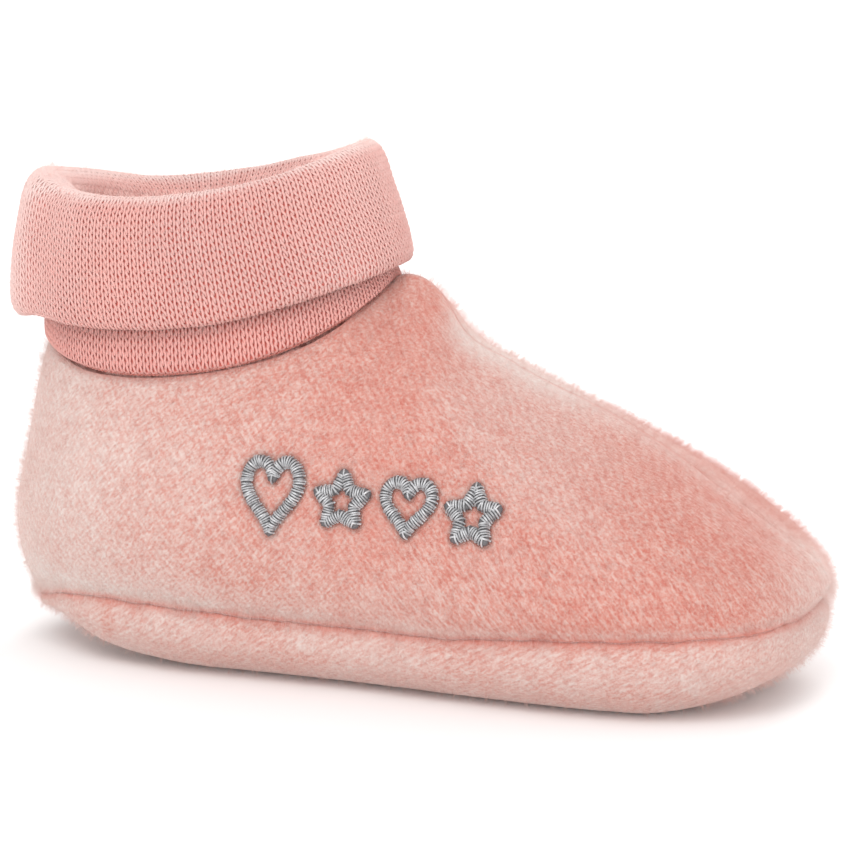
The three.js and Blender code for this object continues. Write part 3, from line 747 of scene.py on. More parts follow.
    # painted shade in the creases of the sole seam, the neck seam and the instep ridge seam
    dark = (0.85 + 0.3 * noise(P, 1.1, 49)) * np.exp(-(edge_lo / 0.42) ** 2) + np.where(ridge_seam, 0.6, 0.45) * np.exp(-(edge_hi / np.where(ridge_seam, 0.3, 0.5)) ** 2)
    col[:, :rows, 2] = np.clip(dark, 0, 1)
    # the turned-in and inside faces get painted shade
    col[:, rows:, 2] = 0.3
    w = np.zeros((n, m))
    w[:, :rows] = smooth(sd, 0.55, 0.85)
    front = np.zeros((n, m))
    front[:, :rows] = smooth(P[..., 0] - 0.5 * (P[..., 2] - 25), -8, 14)
    caps = [np.arange(m), (n - 1) * m + np.arange(m)[::-1]]
    hem_tufts = np.zeros((n, m))
    hem_tufts[:, :rows] = np.exp(-((edge_lo - 0.9) / 0.7) ** 2) * smooth(edge_lo, 0.1, 0.4)
    mouth = np.zeros((n, m))
    mouth[:, :rows] = np.where(ridge_seam, 0, np.exp(-((edge_hi - 0.5) / 0.5) ** 2))
    for field in (w, hem_tufts, mouth):
        field[0] = field[-1] = 0
    o = build(name, loop.reshape(-1, 3), grid_quads(n, m, False, True), velour_mat, "bootie",
              colour=col.reshape(-1, 3), extra=caps,
              group=[("pile_front", w * front), ("pile_rear", w * (1 - front)), ("pile_hem", hem_tufts), ("pile_mouth", mouth)])
    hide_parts(name)
    return o


def pile(o, material, count, length, lean, seed, group, children=4, spread=0.00026, clump=0.08, root=0.011, tip=0.004):
    """Tufts of short pile on a cloth, leaning with the nap. lean is in parts of the length."""
    if material.name not in [m.name for m in o.data.materials]:
        o.data.materials.append(material)
    mod = o.modifiers.new(group, "PARTICLE_SYSTEM")
    ps = mod.particle_system
    s = ps.settings
    ps.seed = seed
    s.type = "HAIR"
    s.count = count
    s.use_advanced_hair = True
    s.hair_step = 2
    s.emit_from = "FACE"
    s.use_emit_random = True
    s.distribution = "RAND"
    s.use_modifier_stack = False
    s.normal_factor = length / 2
    s.object_align_factor = [v * length / 2 for v in lean]
    s.factor_random = 0.55 * length / 2
    s.render_step = 2
    s.display_step = 2
    s.material = [m.name for m in o.data.materials].index(material.name) + 1
    s.radius_scale = 0.01
    s.root_radius = root / 1000 / 0.01
    s.tip_radius = tip / 1000 / 0.01
    s.use_hair_bspline = False
    s.child_type = "SIMPLE"
    s.rendered_child_count = children
    s.child_percent = 1
    s.child_radius = spread
    s.child_roundness = 0.5
    s.clump_factor = clump
    s.clump_shape = 0.1
    s.roughness_1 = 0.0
    s.roughness_2 = 0.00012
    s.roughness_2_size = 0.0005
    s.roughness_endpoint = 0.00006
    ps.vertex_group_density = group
    return ps


outer_panel = panel("upper_outer_panel", -1)
inner_panel = panel("upper_inner_panel", 1)
for cloth, seed in ((outer_panel, 11), (inner_panel, 12)):
    pile(cloth, velour_pile, 9000, 0.00043, (0.12, 0.0, 0.25), seed, "pile_rear")
    pile(cloth, velour_pile, 10000, 0.00043, (0.25, 0.0, -0.12), seed + 4, "pile_front")
    pile(cloth, velour_pile, 1100, 0.00055, (0.30, 0.0, -0.55), seed + 8, "pile_hem", children=4, spread=0.0004, clump=0.1)
    pile(cloth, velour_pile, 450, 0.00050, (0.1, 0.0, 0.2), seed + 12, "pile_mouth", children=4, spread=0.0004, clump=0.1)


# ------------------------------------------------------------------ linings inside the panels
def lining(name, side):
    n, rows = 160, 40
    u = even_u(n)
    rib = np.linalg.norm(np.diff(upper(u, np.linspace(0, 1, 24)), axis=1), axis=2).sum(1)[:, None]
    t0, t1 = 1.6 / rib, 1 - np.where(u <= 6, 1.8, 0.0)[:, None] / rib
    t = t0 + (t1 - t0) * np.linspace(0, 1, rows)[None]
    P = upper(u, t)
    N = vertex_normals(P)
    if N[n // 2, rows // 3, 1] > 0:
        N = -N
    N[0, :, 1] = N[-1, :, 1] = 0
    N[(u >= 6), -1, 1] = 0
    k = int(n * 0.93)
    N[k:, -6:] = unit(N[k:, -7:-6] * np.ones((1, 6, 1)))
    N = unit(N)
    w = 0.12 * fractal(P, 11, 2, 44)
    a, b = P - N * (3.25 + w[..., None]), P - N * (4.1 + w[..., None])
    loop = np.concatenate([a, b[:, ::-1]], 1)
    loop[..., 1] = np.minimum(loop[..., 1], 0) - 0.45
    if side > 0:
        loop[..., 1] *= -1
    m = loop.shape[1]
    o = build(name, loop.reshape(-1, 3), grid_quads(n, m, False, True), lining_mat, "bootie",
              extra=[np.arange(m), (n - 1) * m + np.arange(m)[::-1]])
    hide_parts(name)
    return o


lining("upper_lining_outer", -1)
lining("upper_lining_inner", 1)


# ------------------------------------------------------------------ sole
def sole_ring(n):
    """Seam points, inward plan directions and spine points round the whole sole, n columns."""
    u = np.linspace(0, LAST, 1401)
    B = along(u)[:, 0]
    s = np.concatenate([[0], np.cumsum(np.linalg.norm(np.diff(B, axis=0), axis=1))])
    h = n // 2
    uu = np.interp(np.linspace(0, s[-1], h + 1), s, u)
    p = along(uu)[:, 0]
    d = np.gradient(p, axis=0)
    d[0], d[-1] = (0, -1, 0), (0, 1, 0)
    inn = unit(np.stack([-d[:, 1], d[:, 0], 0 * d[:, 0]], 1))
    full = np.concatenate([p, (p[1:-1] * _mirror)[::-1]])
    inward = np.concatenate([inn, (inn[1:-1] * _mirror)[::-1]])
    spine = np.stack([np.clip(full[:, 0] * 0.8, -36, 38), 0 * full[:, 0], 0 * full[:, 0]], 1)
    return full, inward, spine


def tuck(P, top):
    """The ends of the sole curl up and in; the seam, at height top, stays where it is."""
    P = P.copy()
    x, z = P[..., 0], P[..., 2]
    h = np.clip(1 - z / (top - 0.12)[:, None], 0, 1)
    w = smooth(-x, 36, 50)
    w2 = smooth(x, 36, 54)
    g = smooth(h, 0.05, 0.85)
    P[..., 0] = x + 2.2 * w * g + 2.2 * w2 * h * (1 - h)
    P[..., 1] *= 1 - 0.10 * w * g
    P[..., 2] = z + (2.2 * smooth(-x, 20, 50) + 1.2 * w2) * smooth(h, 0, 0.6) * (0.3 + 0.7 * h)
    return P


def cover_curve(p, inn, inset, floor, k):
    """Rounded side of the sole at fractions k (m), from seam to floor: (n, m, 3)."""
    top = (p[:, 2] - 0.15)[:, None]
    end = np.maximum(0, np.maximum((-34 - p[:, 0]) / 17, (p[:, 0] - 36) / 18))[:, None]
    flat = 9.0 + 5 * end
    k = np.asarray(k)[None]
    s = 1 - k
    d = s ** 3 * inset + 3 * s * s * k * (inset - 1.5) + 3 * s * k * k * (inset + 1.6 + 1.6 * end) + k ** 3 * flat
    z = s ** 3 * top + 3 * s * s * k * (top * 0.45 + floor * 0.6) + 3 * s * k * k * floor + k ** 3 * floor
    out = p[:, None] + inn[:, None] * d[..., None]
    out[..., 2] = z
    return out


def sole_cover():
    n = 900
    p, inn, spine = sole_ring(n)
    k = np.linspace(0, 1, 44)
    side = cover_curve(p, inn, 0.0, 0.0, k)
    fl = np.linspace(0, 1, 26)[1:][None, :, None]
    flat = side[:, -1:] * (1 - fl) + spine[:, None] * fl
    G = np.concatenate([side, flat], 1)
    rows = G.shape[1]
    N = vertex_normals(G, close_u=True)
    if N[n // 4, 8, 1] > 0:
        N = -N
    N[:, 44:] = (0, 0, -1)
    arc = np.concatenate([np.zeros((n, 1)), np.cumsum(np.linalg.norm(np.diff(G, axis=1), axis=2), 1)], 1)
    wall = 1 - smooth(k_pad(k, rows), 0.55, 0.9)
    D = (-0.45 + 0.18 * fractal(G, 13, 2, 53) + 0.07 * fractal(G, 5, 2, 55)) * wall[None]
    D -= 0.8 * smooth(-G[..., 0], 36, 50) * wall[None]
    D += 0.06 * noise(G, 0.8, 61) * (0.35 + 0.65 * wall[None]) + 0.04 * noise(G, 1.7, 67) * wall[None]
    S = G + N * D[..., None]
    back_off = crease(p)[:, None]
    lip = p + inn * back_off + [0, 0, 0.006] + [0, 0, 1.0] * seam_wave(p)[:, None]
    S = S + (lip - S[:, 0])[:, None] * np.exp(-(arc / 0.8) ** 2)[..., None]
    S[..., 2] = np.maximum(S[..., 2], 0.02)
    S[:, -1] = G[:, -1] + [0, 0, 0.05]
    S[:, -1, 2] = 0.05
    inside = cover_curve(p, inn, 1.9, 1.8, np.linspace(0.08, 1, 7))
    top_in = np.stack([lip + inn * 0.14 - [0, 0, 0.26], lip + inn * 0.6 - [0, 0, 0.36]], 1)
    sp_in = spine[:, None] + [0, 0, 1.8]
    loop = tuck(np.concatenate([S[:, ::-1], top_in, inside, sp_in], 1), p[:, 2])
    m = loop.shape[1]
    b = fractal(G, 7, 3, 71)
    b2 = fractal(G * [1, 1, 1.7], 3.5, 2, 73)
    # the toe-tip term of pale is painted sheen on the rounded toe; the other terms are nap
    pale = np.clip(0.13 + 0.17 * smooth(-G[..., 0], 0, 45) + 0.36 * smooth(G[..., 0], 40, 55) + 0.3 * b + 0.25 * b2, 0, 0.9)
    # the band just below the seam in deep is painted shadow under the overhanging upper
    deep = np.clip(0.15 + 0.3 * smooth(G[..., 0], 20, 55) + 0.5 * b + 0.9 * np.exp(-(arc / 1.5) ** 2) * smooth(G[..., 0], -38, -25) * smooth(-G[..., 0], -50, -38) * (0.8 + 0.6 * b2), 0, 0.85) * (1 - pale)
    mark = np.exp(-(((G[..., 0] + 34.5) / 1.3) ** 2)) * smooth(G[..., 2], 1.5, 4) * (G[..., 1] < 0)
    deep = np.clip(deep + 0.8 * mark, 0, 1)
    pale = pale * (1 - 0.9 * mark)
    col = np.zeros((n, m, 3))
    col[:, :rows, 0] = pale[:, ::-1]
    col[:, :rows, 1] = deep[:, ::-1]
    # painted shade in the seam crease along the top edge
    col[:, :rows, 2] = np.clip((0.75 + 0.4 * noise(G, 1.3, 75)) * np.exp(-(arc / 0.55) ** 2), 0, 1)[:, ::-1]
    w = np.zeros((n, m))
    w[:, :rows] = (smooth(arc, 0.05, 0.5) * wall[None] * smooth(S[..., 2], 0.3, 1.0))[:, ::-1]
    o = build("sole_velour_cover", loop.reshape(-1, 3), grid_quads(n, m, True, False), sole_mat, "bootie",
              colour=col.reshape(-1, 3), group=[("pile", w)])
    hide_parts("sole_velour_cover")
    return o


def k_pad(k, rows):
    return np.concatenate([k, np.ones(rows - len(k))])


cover = sole_cover()
pile(cover, sole_pile, 9000, 0.00042, (0.15, 0.0, 0.15), 13, "pile")


def slab(name, sections, material, n=220):
    """A pad built from ring sections (functions of the ring), closed on the spine at both faces."""
    p, inn, spine = sole_ring(n)
    loop = np.stack(sections(p, inn, spine), 1)
    k = loop.shape[1]
    x = np.linspace(0, k - 1, (k - 1) * 5 + 1)
    dense = np.stack([catmull(loop[i], x) for i in range(n)])
    mid = dense[:, 1:-1]
    mid += unit(vertex_normals(dense, close_u=True)[:, 1:-1]) * (0.12 * fractal(mid, 6, 2, 81))[..., None]
    dense = tuck(dense, p[:, 2])
    m = dense.shape[1]
    o = build(name, dense.reshape(-1, 3), grid_quads(n, m, True, False), material, "bootie")
    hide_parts(name)
    return o


def inset(p, inn, d, z):
    q = p + inn * d
    q[:, 2] = z
    return q


def pad_top(p):
    return np.maximum(3.4, np.minimum(8.2, p[:, 2] - 2.2))


def padding_sections(p, inn, spine):
    lo, top = 2.35, pad_top(p)
    cc = lambda k: cover_curve(p, inn, lo + 0.1, lo, [k])[:, 0]
    up = lambda z: spine + [0, 0, z]
    return [up(lo), cc(1), cc(0.7), cc(0.4), inset(p, inn, 3.4, top - 0.1), inset(p, inn, 5.6, top + 0.1), inset(p, inn, 8.0, (top + 7.0) / 2), up(7.0)]


def insole_sections(p, inn, spine):
    top = pad_top(p) + 0.5
    mid = 7.5
    up = lambda z: spine + [0, 0, z]
    return [up(mid), inset(p, inn, 8.0, (top + mid) / 2), inset(p, inn, 5.7, top + 0.25), inset(p, inn, 5.7, top + 1.2), inset(p, inn, 8.0, (top + mid) / 2 + 1.0), up(mid + 1)]


slab("sole_padding", padding_sections, foam_mat)
slab("insole_lining", insole_sections, lining_mat)


# ------------------------------------------------------------------ knitted neck and turned-down cuff
WALES = 128
COURSE = 0.96


def shrink(h, k):
    return (h[0] - k, h[1] - k)


def lerp_half(a, b, k):
    return (a[0] + (b[0] - a[0]) * k, a[1] + (b[1] - a[1]) * k)


def even_theta(n, half=(24.0, 16.0)):
    """Angles evenly spaced round the tube by length."""
    t = np.linspace(0, -2 * np.pi, 2881)
    P = ankle(t, half, 0.5, 0 * t)
    s = np.concatenate([[0], np.cumsum(np.linalg.norm(np.diff(P, axis=0), axis=1))])
    return np.interp(np.linspace(0, s[-1], n + 1), s, t)[:-1]


def stitches(G, N, V, courses, converge, shear, twist=0.0, seg=10, sides=5, r=0.175, a=0.21, b=0.80, d=0.14, lift=0.0):
    """One closed yarn per course round the tube, looped into plain stitches on the grid surface G.
    V: row positions in courses (m+1). converge: +1 if the two legs of a stitch meet at its lower end."""
    n, m = G.shape[:2]
    Gw = np.concatenate([G, G[:, :1]], 1)
    Nw = np.concatenate([N, N[:, :1]], 1)
    k = WALES * seg
    s = np.arange(k) / seg
    u = s % 1
    w = np.floor(s).astype(int)
    verts, quads = [], []
    rg = np.random.default_rng(41)
    rows_mid = float(np.mean(courses))
    for j, v in enumerate(courses):
        hb = b * (1 + 0.07 * rg.standard_normal(WALES))[w]
        ha = a * (1 + 0.10 * rg.standard_normal(WALES))[w]
        off = 0.05 * rg.standard_normal(WALES)
        off = (off * (1 - u[::seg].mean()))[w] * 0.6
        Y = v - converge * hb * np.cos(2 * np.pi * u)
        X = s + ha * np.sin(4 * np.pi * u) + shear * (Y - v) + off * np.sin(np.pi * u) ** 2
        Z = lift - d * np.cos(4 * np.pi * u)
        X = X + twist * (Y - rows_mid)
        row = np.interp(np.mod(Y, V[-1]), V, np.arange(m + 1))
        col = np.mod(X / WALES * n, n)
        i0 = np.floor(col).astype(int) % n
        i1 = (i0 + 1) % n
        fi = (col - np.floor(col))[:, None]
        j0 = np.clip(np.floor(row).astype(int), 0, m - 1)
        fj = (row - j0)[:, None]
        bil = lambda A: (A[i0, j0] * (1 - fi) + A[i1, j0] * fi) * (1 - fj) + (A[i0, j0 + 1] * (1 - fi) + A[i1, j0 + 1] * fi) * fj
        P, Q = bil(Gw), unit(bil(Nw))
        C = P + Q * Z[:, None]
        T = unit(np.roll(C, -1, 0) - np.roll(C, 1, 0))
        A_ = unit(np.cross(T, Q))
        B_ = np.cross(A_, T)
        ang = np.linspace(0, 2 * np.pi, sides, endpoint=False) + 0.3
        ring = C[:, None] + (A_[:, None] * np.cos(ang)[None, :, None] + B_[:, None] * np.sin(ang)[None, :, None]) * r
        quads.append(grid_quads(k, sides, True, True) + j * k * sides)
        verts.append(ring.reshape(-1, 3))
    return np.concatenate(verts), np.concatenate(quads)


def knit_tube(name, body, section, fine, courses, converge, shear, paint, shape, fuzz_count, twist=0.0):
    n = WALES * 4
    K = np.stack(section, 0)
    x = np.concatenate([np.linspace(a, b, c, endpoint=False) for a, b, c in fine])
    G = catmull(K, x, closed=True).transpose(1, 0, 2)
    m = G.shape[1]
    N = vertex_normals(G, True, True)
    if np.einsum("ijk,ijk->ij", N, G - G.mean(1, keepdims=True)).mean() < 0:
        N = -N
    G = G + N * shape(G, x)[..., None]
    dv = np.linalg.norm(np.roll(G, -1, 1) - G, axis=2).mean(0)
    V = np.concatenate([[0], np.cumsum(dv)]) / COURSE
    at = lambda k: float(np.interp(k, np.append(x, len(K)), V))
    lo, hi = at(courses[0]) if courses[0] >= 0 else courses[0], at(courses[1])
    rows = np.arange(math.ceil(lo), math.floor(hi) + 1) + 0.5
    yv, yq = stitches(G, N, V, rows, converge, shear, twist)
    sink = 0.16 - 0.55 * np.clip(paint(G)[..., 0] - 0.08, 0, 0.22)
    base = (G - N * sink[..., None])[::4]
    nb = len(base)
    covered = (V[:-1] > rows[0] - 0.6) & (V[:-1] < rows[-1] + 0.6) | (V[:-1] > V[-1] + rows[0] - 0.6)
    col_b = paint(base)
    # the ground under the stitches is painted shade between them, eased where painted highlight pales it
    col_b[..., 1] = np.where(covered[None], 1.0 - 0.9 * np.clip(col_b[..., 0], 0, 0.9), 0.15)
    col_y = paint(yv[:, None])[:, 0]
    verts = np.concatenate([base.reshape(-1, 3), yv])
    quads = np.concatenate([grid_quads(nb, m, True, True), yq + nb * m])
    col = np.concatenate([col_b.reshape(-1, 3), col_y])
    wf = np.clip(0.12 + 0.9 * col_y[:, 2], 0, 1)
    col[:, 2] = 0
    w = np.concatenate([np.zeros(nb * m), wf])
    o = build(name, verts, quads, yarn_mat, body, colour=col, weld=False, group=[("fuzz", w)])
    print(name, "faces", len(quads), "courses", len(rows))
    pile(o, fuzz.m, fuzz_count, 0.00055, (0, 0, 0.1), 21, "fuzz", children=4, spread=0.0004, clump=0.0, root=0.009, tip=0.004)
    ps = o.particle_systems[0].settings
    ps.factor_random = 0.00022
    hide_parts(name)
    return o


theta = even_theta(WALES * 4)


def neck_section(t):
    lo, top = seam_w(t) + 0.1, crest_w(t) - 3.2
    bend = [(0, 0), (0.35, 0.16), (0.7, 0.66), (1, 1)]
    wall = lambda k: [ankle(t, shrink(lerp_half(SEAM_HALF, NECK_HALF, g), k), SEAM_MID + (TUBE_MID - SEAM_MID) * g, lo + (5.0 - lo) * f) for f, g in bend] + [ankle(t, shrink(NECK_HALF, k), TUBE_MID, top)]
    # inside, the seam allowance hangs down over the top edge of the panels
    hang = lambda k, z: ankle(t, shrink(SEAM_HALF, k), SEAM_MID, lo + z)
    return wall(0.32) + wall(1.45)[::-1][:-1] + [hang(2.15, 0.45), hang(2.6, -0.35), hang(2.65, -1.1), hang(2.15, -1.1), hang(1.7, -0.05)]


def neck_paint(P):
    col = np.zeros(P.shape[:-1] + (3,))
    # painted shadow of the cuff: the neck yarn is darkened a little all round
    col[..., 1] = 0.16
    col[..., 2] = 0.05
    return col


neck = knit_tube("cuff_neck", "bootie", neck_section(theta),
                 [(0, 1, 6), (1, 2, 6), (2, 3, 6), (3, 4, 8), (4, 5, 2), (5, 6, 4), (6, 7, 3), (7, 8, 3), (8, 9, 3), (9, 10, 2), (10, 11, 2), (11, 12, 2), (12, 13, 2), (13, 14, 2)],
                 (0.0, 3.55), 1, 0.10, neck_paint, lambda G, x: 0.15 * fractal(G, 9, 2, 91) - 0.1, 1500)

LEG_OUT = shrink(NECK_HALF, 0.15 + 1.4 + 0.35)
LEG_IN = shrink(LEG_OUT, 1.4)


def cuff_crest(t):
    c, s_ = np.cos(t), np.sin(t)
    x = -27.2 + 23 * c
    far = smooth(s_, 0.0, 0.5)
    near_heel = np.exp(-((c + 0.95) ** 2 + (s_ + 0.3) ** 2) / 0.3 ** 2)
    return crest_w(t) - 0.25 * (0.5 + 0.5 * c) - 0.1 + far * (0.45 * np.exp(-((x + 19) / 9) ** 2) - 0.6 * np.exp(-((x + 39) / 8) ** 2)) + 0.75 * near_heel


def cuff_section(t):
    hem, crest = hem_w(t) - 0.55 * np.cos(t) ** 4, cuff_crest(t)
    H = crest - hem
    P = lambda half, mid, w: ankle(t, half, mid, w)
    return [
        P(shrink(HEM_HALF, 0.95), HEM_MID, hem + 0.15),
        P(shrink(HEM_HALF, 0.35), HEM_MID, hem + 0.8),
        P(shrink(HEM_HALF, 0.3), HEM_MID, hem + 2.6),
        P(shrink(HEM_HALF, 1.0), HEM_MID, hem + H * 0.42),
        P(shrink(HEM_HALF, 1.95), HEM_MID, hem + H * 0.66),
        P((24.15, 15.8), 0.5, hem + H * 0.84),
        P((23.3, 14.8), 0.65, crest - 1.0),
        P((21.9, 13.4), 0.8, crest - 0.02),
        P((20.2, 11.7), TUBE_MID, crest - 0.75),
        P(LEG_IN, TUBE_MID, crest - 3.2),
        P(LEG_IN, TUBE_MID, crest - 13.6),
        P(LEG_OUT, TUBE_MID, crest - 13.6),
        P(LEG_OUT, TUBE_MID, crest - 2.9),
        P((20.4, 11.9), TUBE_MID, crest - 2.0),
        P((21.9, 13.4), 0.8, crest - 2.4),
        P((22.5, 14.1), 0.7, crest - 3.6),
        P(shrink(HEM_HALF, 3.5), 0.4, hem + H * 0.6),
        P(shrink(HEM_HALF, 2.3), HEM_MID, hem + H * 0.38),
        P(shrink(HEM_HALF, 1.7), HEM_MID, hem + 2.4),
        P(shrink(HEM_HALF, 1.6), HEM_MID, hem + 0.8),
    ]


def fold_line(P):
    """How near points are to the pressed fold at the heel end of the cuff, 0..1."""
    q = (P - ANKLE)
    v, y = q @ FORE, P[..., 1]
    ang = np.degrees(np.arctan2(-y, -(v + 3)))        # 0 straight back, + towards the decorated side
    return np.exp(-((ang - 24) / 7.0) ** 2), np.exp(-((ang - 40) / 11.0) ** 2)


def cuff_shape(G, x):
    ridge, dip = fold_line(G)
    outer = ((x < 7.0) | (x > 19.0)).astype(float)[None]
    waves = 0.30 * fractal(G * [1, 1, 0.45], 9, 2, 95) + 0.10 * fractal(G, 4, 2, 93)
    return (waves + 0.55 * ridge - 0.5 * dip) * outer + waves * 0.4 * (1 - outer) - 0.15


def cuff_paint(P):
    col = np.zeros(P.shape[:-1] + (3,))
    q = P - ANKLE
    w = q @ UP
    ang = np.arctan2(P[..., 1] / 15.0, (q @ FORE) / 22.0)
    crest = cuff_crest(ang) - 0.15
    ridge, _ = fold_line(P)
    # rim: painted highlight along the crest of the fold, where the fuzz also grows
    rim = np.exp(-((w - crest) / 0.6) ** 2)
    # ends: painted grazing sheen at both ends of the cuff, which also carry more fuzz
    ends = 0.24 * smooth(P[..., 0], -19, -4) + 0.24 * smooth(-P[..., 0], 36, 50)
    # painted glow round the rim at the heel end
    painted_rim_glow = 0.45 * np.exp(-((w - crest) / 1.8) ** 2) * smooth(-P[..., 0], 36, 48)
    # the fold ridge adds a painted highlight on the pressed fold; the fractal term is random tone; column 2 below is
    # fuzz density
    col[..., 0] = np.clip(0.85 * rim + ends + painted_rim_glow + 0.5 * ridge + 0.15 * fractal(P, 8, 2, 97), 0, 0.95)
    col[..., 2] = np.clip(rim + 0.25 * ridge + 0.25 * ends, 0, 1)
    return col


cuff = knit_tube("cuff_turndown", "cuff", cuff_section(theta),
                 [(0, 1, 3), (1, 2, 3), (2, 3, 6), (3, 4, 5), (4, 5, 5), (5, 6, 6), (6, 7, 7), (7, 8, 6), (8, 9, 5), (9, 10, 7), (10, 11, 2),
                  (11, 12, 4), (12, 13, 2), (13, 14, 2), (14, 15, 2), (15, 16, 3), (16, 17, 3), (17, 18, 3), (18, 19, 2), (19, 20, 2)],
                 (-1.0, 9.42), -1, 0.15, cuff_paint, cuff_shape, 9000, twist=0.09)


# ------------------------------------------------------------------ seams: two-ply sewing thread
def thread_along(name, pts, radius, closed, twist_per_mm=0.9, sides=8):
    """Two plies twisted round a path (mm)."""
    P = np.asarray(pts, float)
    line = np.vstack([P, P[:1]]) if closed else P
    L = np.linalg.norm(np.diff(line, axis=0), axis=1).sum()
    n = max(40, int(L / 0.28))
    R = resample(line, n + 1)
    if closed:
        R = R[:-1]
    T = unit(np.roll(R, -1, 0) - np.roll(R, 1, 0)) if closed else unit(np.gradient(R, axis=0))
    ref = np.where(np.abs(T[:, 2:3]) > 0.9, [[1.0, 0, 0]], [[0, 0, 1.0]])
    A = unit(np.cross(T, ref))
    B = np.cross(A, T)
    k = len(R)
    turns = max(1, round(L * twist_per_mm))
    ph = np.linspace(0, 2 * np.pi * turns, k, endpoint=not closed)
    verts, quads, off = [], [], 0
    for ply in (0, np.pi):
        c = R + (A * np.cos(ph + ply)[:, None] + B * np.sin(ph + ply)[:, None]) * radius * 0.5
        a = np.linspace(0, 2 * np.pi, sides, endpoint=False)
        ring = c[:, None] + (A[:, None] * np.cos(a)[None, :, None] + B[:, None] * np.sin(a)[None, :, None]) * radius * 0.52
        verts.append(ring.reshape(-1, 3))
        quads.append(grid_quads(k, sides, closed, True) + off)
        off += k * sides
    extra = [] if closed else [np.arange(sides) + b + e for b in (0, k * sides) for e in (0, (k - 1) * sides)]
    o = build(name, np.concatenate(verts), np.concatenate(quads), thread_mat, "bootie", extra=extra, weld=False)
    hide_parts(name)
    return o


ring_p, ring_n, _ = sole_ring(400)
thread_along("sole_seam_thread", ring_p + ring_n * (1.38 + 0.40 * smooth(-ring_p[:, :1], 40, 50)), 0.22, True)
tt = even_theta(240)
thread_along("neck_seam_thread", ankle(tt, shrink(SEAM_HALF, 1.1), SEAM_MID, seam_w(tt) - 0.12), 0.22, True)
uu = np.linspace(6.4, LAST, 120)
ridge_line = upper(uu, [1.0])[:, 0]
rt = unit(np.gradient(ridge_line, axis=0))
rn = np.stack([rt[:, 2], 0 * rt[:, 0], -rt[:, 0]], 1)
rn *= np.sign(rn[:, 2:])
ridge_line = ridge_line - rn * (1.5 + 0.6 * np.exp(-((ridge_line[:, :1] - 5.0) / 7.5) ** 2) + 1.75 * smooth(ridge_line[:, :1], 32, 42))
toe_line = upper(np.array([float(LAST)]), np.linspace(1, 0.06, 60))[0]
toe_n = unit(np.cross(np.gradient(toe_line, axis=0), [0, 1.0, 0]))
toe_n *= np.sign(toe_n[:, :1])
path = np.concatenate([ridge_line, (toe_line - toe_n * (1.5 + 1.8 * smooth(toe_line[:, 2:], 14, 19)))[1:]])
path[:, 1] = 0
thread_along("instep_seam_thread", path, 0.2, False)
heel_line = upper(np.array([0.0]), np.linspace(0.06, 0.95, 60))[0] + [2.1, 0, 0]
thread_along("heel_seam_thread", heel_line, 0.2, False)


# ------------------------------------------------------------------ embroidery: satin stitches across each stroke
def satin(name, kind, cx, cz, r, rz, width=1.40, pitch=0.30):
    path_pts, L = outline(kind, r, rz, 720)
    n = int(L / pitch)
    idx = (np.arange(n) * 720 / n + rng.uniform(-1.5, 1.5, n)).astype(int) % 720
    seg, sides = 9, 6
    d = np.roll(path_pts, -6, 0) - np.roll(path_pts, 6, 0)
    nrm = unit(np.stack([d[:, 1], -d[:, 0]], 1))
    for _ in range(18):                       # the stitch direction turns smoothly round corners
        nrm = unit(0.5 * nrm + 0.25 * (np.roll(nrm, 1, 0) + np.roll(nrm, -1, 0)))
    centres, lifts = [], []
    s = np.linspace(-1, 1, seg)
    arch = np.sqrt(np.clip(1 - s ** 2, 0, 1))
    for j in idx:
        w = width / 2 * (1 + rng.uniform(-0.16, 0.12))
        skew = rng.uniform(-0.09, 0.09)
        tang = np.array([-nrm[j, 1], nrm[j, 0]])
        centres.append(path_pts[j] + nrm[j] * (s * w)[:, None] + tang * (s * skew)[:, None])
        lifts.append(-0.55 + 0.95 * arch * (1 + rng.uniform(-0.10, 0.10)))
    C = np.concatenate(centres)
    lift = np.concatenate(lifts)
    W = on_side(C[:, 0] + cx, C[:, 1] + cz, lift).reshape(n, seg, 3)
    T = unit(np.gradient(W, axis=1))
    side_n = on_side(C[:, 0] + cx, C[:, 1] + cz, lift + 1).reshape(n, seg, 3) - W
    A = unit(np.cross(T, side_n))
    B = np.cross(A, T)
    a = np.linspace(0, 2 * np.pi, sides, endpoint=False)
    ring = W[:, :, None] + (A[:, :, None] * np.cos(a)[None, None, :, None] + B[:, :, None] * np.sin(a)[None, None, :, None] * 0.85) * 0.125
    V = ring.reshape(-1, 3)
    q = grid_quads(seg, sides, False, True)
    quads = (q[None] + (np.arange(n) * seg * sides)[:, None, None]).reshape(-1, 4)
    caps = []
    for i in range(n):
        b = i * seg * sides
        caps.append(b + np.arange(sides)[::-1])
        caps.append(b + (seg - 1) * sides + np.arange(sides))
    # the padding stitches under the satin: a low band, coloured dark as painted shade in the gaps between the satin
    # stitches
    k, f = 240, 7
    pp, nn = path_pts[::3], nrm[::3]
    sec = [(-0.45, -0.50), (-0.45, -0.12), (-0.23, 0.08), (0.0, 0.12), (0.23, 0.08), (0.45, -0.12), (0.45, -0.50)]
    U = np.concatenate([pp + nn * (q0 * width) for q0, _ in sec])
    H = np.concatenate([np.full(k, h) for _, h in sec])
    under = on_side(U[:, 0] + cx, U[:, 1] + cz, H).reshape(f, k, 3).transpose(1, 0, 2).reshape(-1, 3)
    quads = np.concatenate([quads, grid_quads(k, f, True, True) + len(V)])
    col = np.zeros((len(V) + len(under), 3))
    col[len(V):, 0] = 1
    col[: len(V), 1] = np.repeat(rng.uniform(0, 1, n), seg * sides)
    V = np.concatenate([V, under])
    V[:, 1] -= 0.05
    o = build(name, V, quads, silver_mat, "bootie", colour=col, extra=caps, weld=False)
    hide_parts(name)
    return o


for spec in MOTIFS:
    satin(*spec)


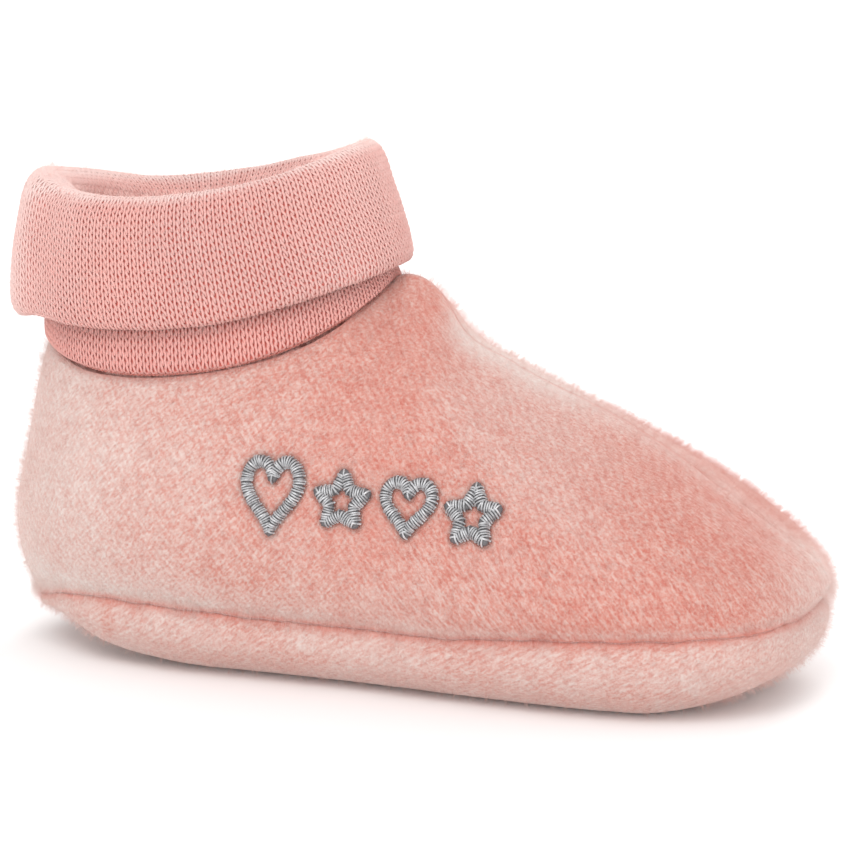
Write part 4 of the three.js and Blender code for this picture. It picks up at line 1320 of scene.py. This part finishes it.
def backing():
    u, t = np.linspace(3.5, 9.5, 90), np.linspace(0.17, 0.70, 50)
    P = upper(u, t)
    N = vertex_normals(P)
    if N[40, 20, 1] > 0:
        N = -N
    a, b = P - N * 2.4, P - N * 2.8
    loop = np.concatenate([a, b[:, ::-1]], 1)
    loop[..., 1] -= 0.3
    m = loop.shape[1]
    o = build("embroidery_backing", loop.reshape(-1, 3), grid_quads(90, m, False, True), backing_mat, "bootie",
              extra=[np.arange(m), 89 * m + np.arange(m)[::-1]])
    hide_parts("embroidery_backing")


backing()

# ------------------------------------------------------------------ the cuff unrolls on its joint, its hem rising further than its fold: here the joint is only looked up and the cuff given its own mesh
joint = [j for j in frame["joints"] if j["name"] == "cuff_unroll"][0]
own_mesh(cuff)

# ------------------------------------------------------------------ floor, light, camera
floor = bpy.data.meshes.new("floor")
floor.from_pydata([(-3, -3, 0), (3, -3, 0), (3, 3, 0), (-3, 3, 0)], [], [(0, 1, 2, 3)])
fo = bpy.data.objects.new("floor", floor)
bpy.context.scene.collection.objects.link(fo)
fm = Mat("pale_floor", Roughness=0.9)
fm.b.inputs["Base Color"].default_value = (0.92, 0.92, 0.92, 1)
floor.materials.append(fm.m)

world = bpy.data.worlds.new("studio")
bpy.context.scene.world = world
world.use_nodes = True
world.node_tree.nodes["Background"].inputs[0].default_value = (1, 1, 1, 1)
world.node_tree.nodes["Background"].inputs[1].default_value = 0.98


def area(name, loc, target, size, power, colour=(1, 1, 1)):
    d = bpy.data.lights.new(name, "AREA")
    d.shape = "DISK"
    d.size = size
    d.energy = power
    d.color = colour
    o = bpy.data.objects.new(name, d)
    o.location = loc
    o.rotation_euler = (Vector(target) - Vector(loc)).to_track_quat("-Z", "Y").to_euler()
    bpy.context.scene.collection.objects.link(o)
    return o


area("key", (-0.02, -0.60, 0.78), (0, 0, 0.03), 0.55, 2.6)
area("fill", (0.75, -0.7, 0.35), (0, 0, 0.03), 0.6, 1.4)
area("front", (-0.1, -1.1, 0.16), (0, 0, 0.03), 0.8, 3.5)
area("back", (0.1, 0.8, 0.6), (0, 0, 0.04), 0.6, 3.6)

A, E, ROLL, K, D = math.radians(16), math.radians(11), math.radians(0.9), 0.1290, 480.0
f = Vector((-math.sin(A) * math.cos(E), math.cos(A) * math.cos(E), -math.sin(E)))
r = Vector((math.cos(A), math.sin(A), 0))
u_ = r.cross(f)
rr = r * math.cos(ROLL) + u_ * math.sin(ROLL)
ur = u_ * math.cos(ROLL) - r * math.sin(ROLL)
aim = Vector((DX, 0, 35.0))
eye = aim - f * D
target = aim + rr * (15 * K) - ur * (32 * K)
f2 = (target - eye).normalized()
r2 = (rr - f2 * rr.dot(f2)).normalized()
u2 = r2.cross(f2)
cam = bpy.data.cameras.new("camera")
cam.sensor_width = 36
cam.lens = 36 * D / (850 * K)
cam.clip_start = 0.01
co = bpy.data.objects.new("camera", cam)
co.matrix_world = Matrix(((r2.x, u2.x, -f2.x, eye.x / 1000), (r2.y, u2.y, -f2.y, eye.y / 1000), (r2.z, u2.z, -f2.z, eye.z / 1000), (0, 0, 0, 1)))
bpy.context.scene.collection.objects.link(co)
bpy.context.scene.camera = co
bpy.context.scene.view_settings.view_transform = "Standard"
bpy.context.scene.view_settings.look = "None"
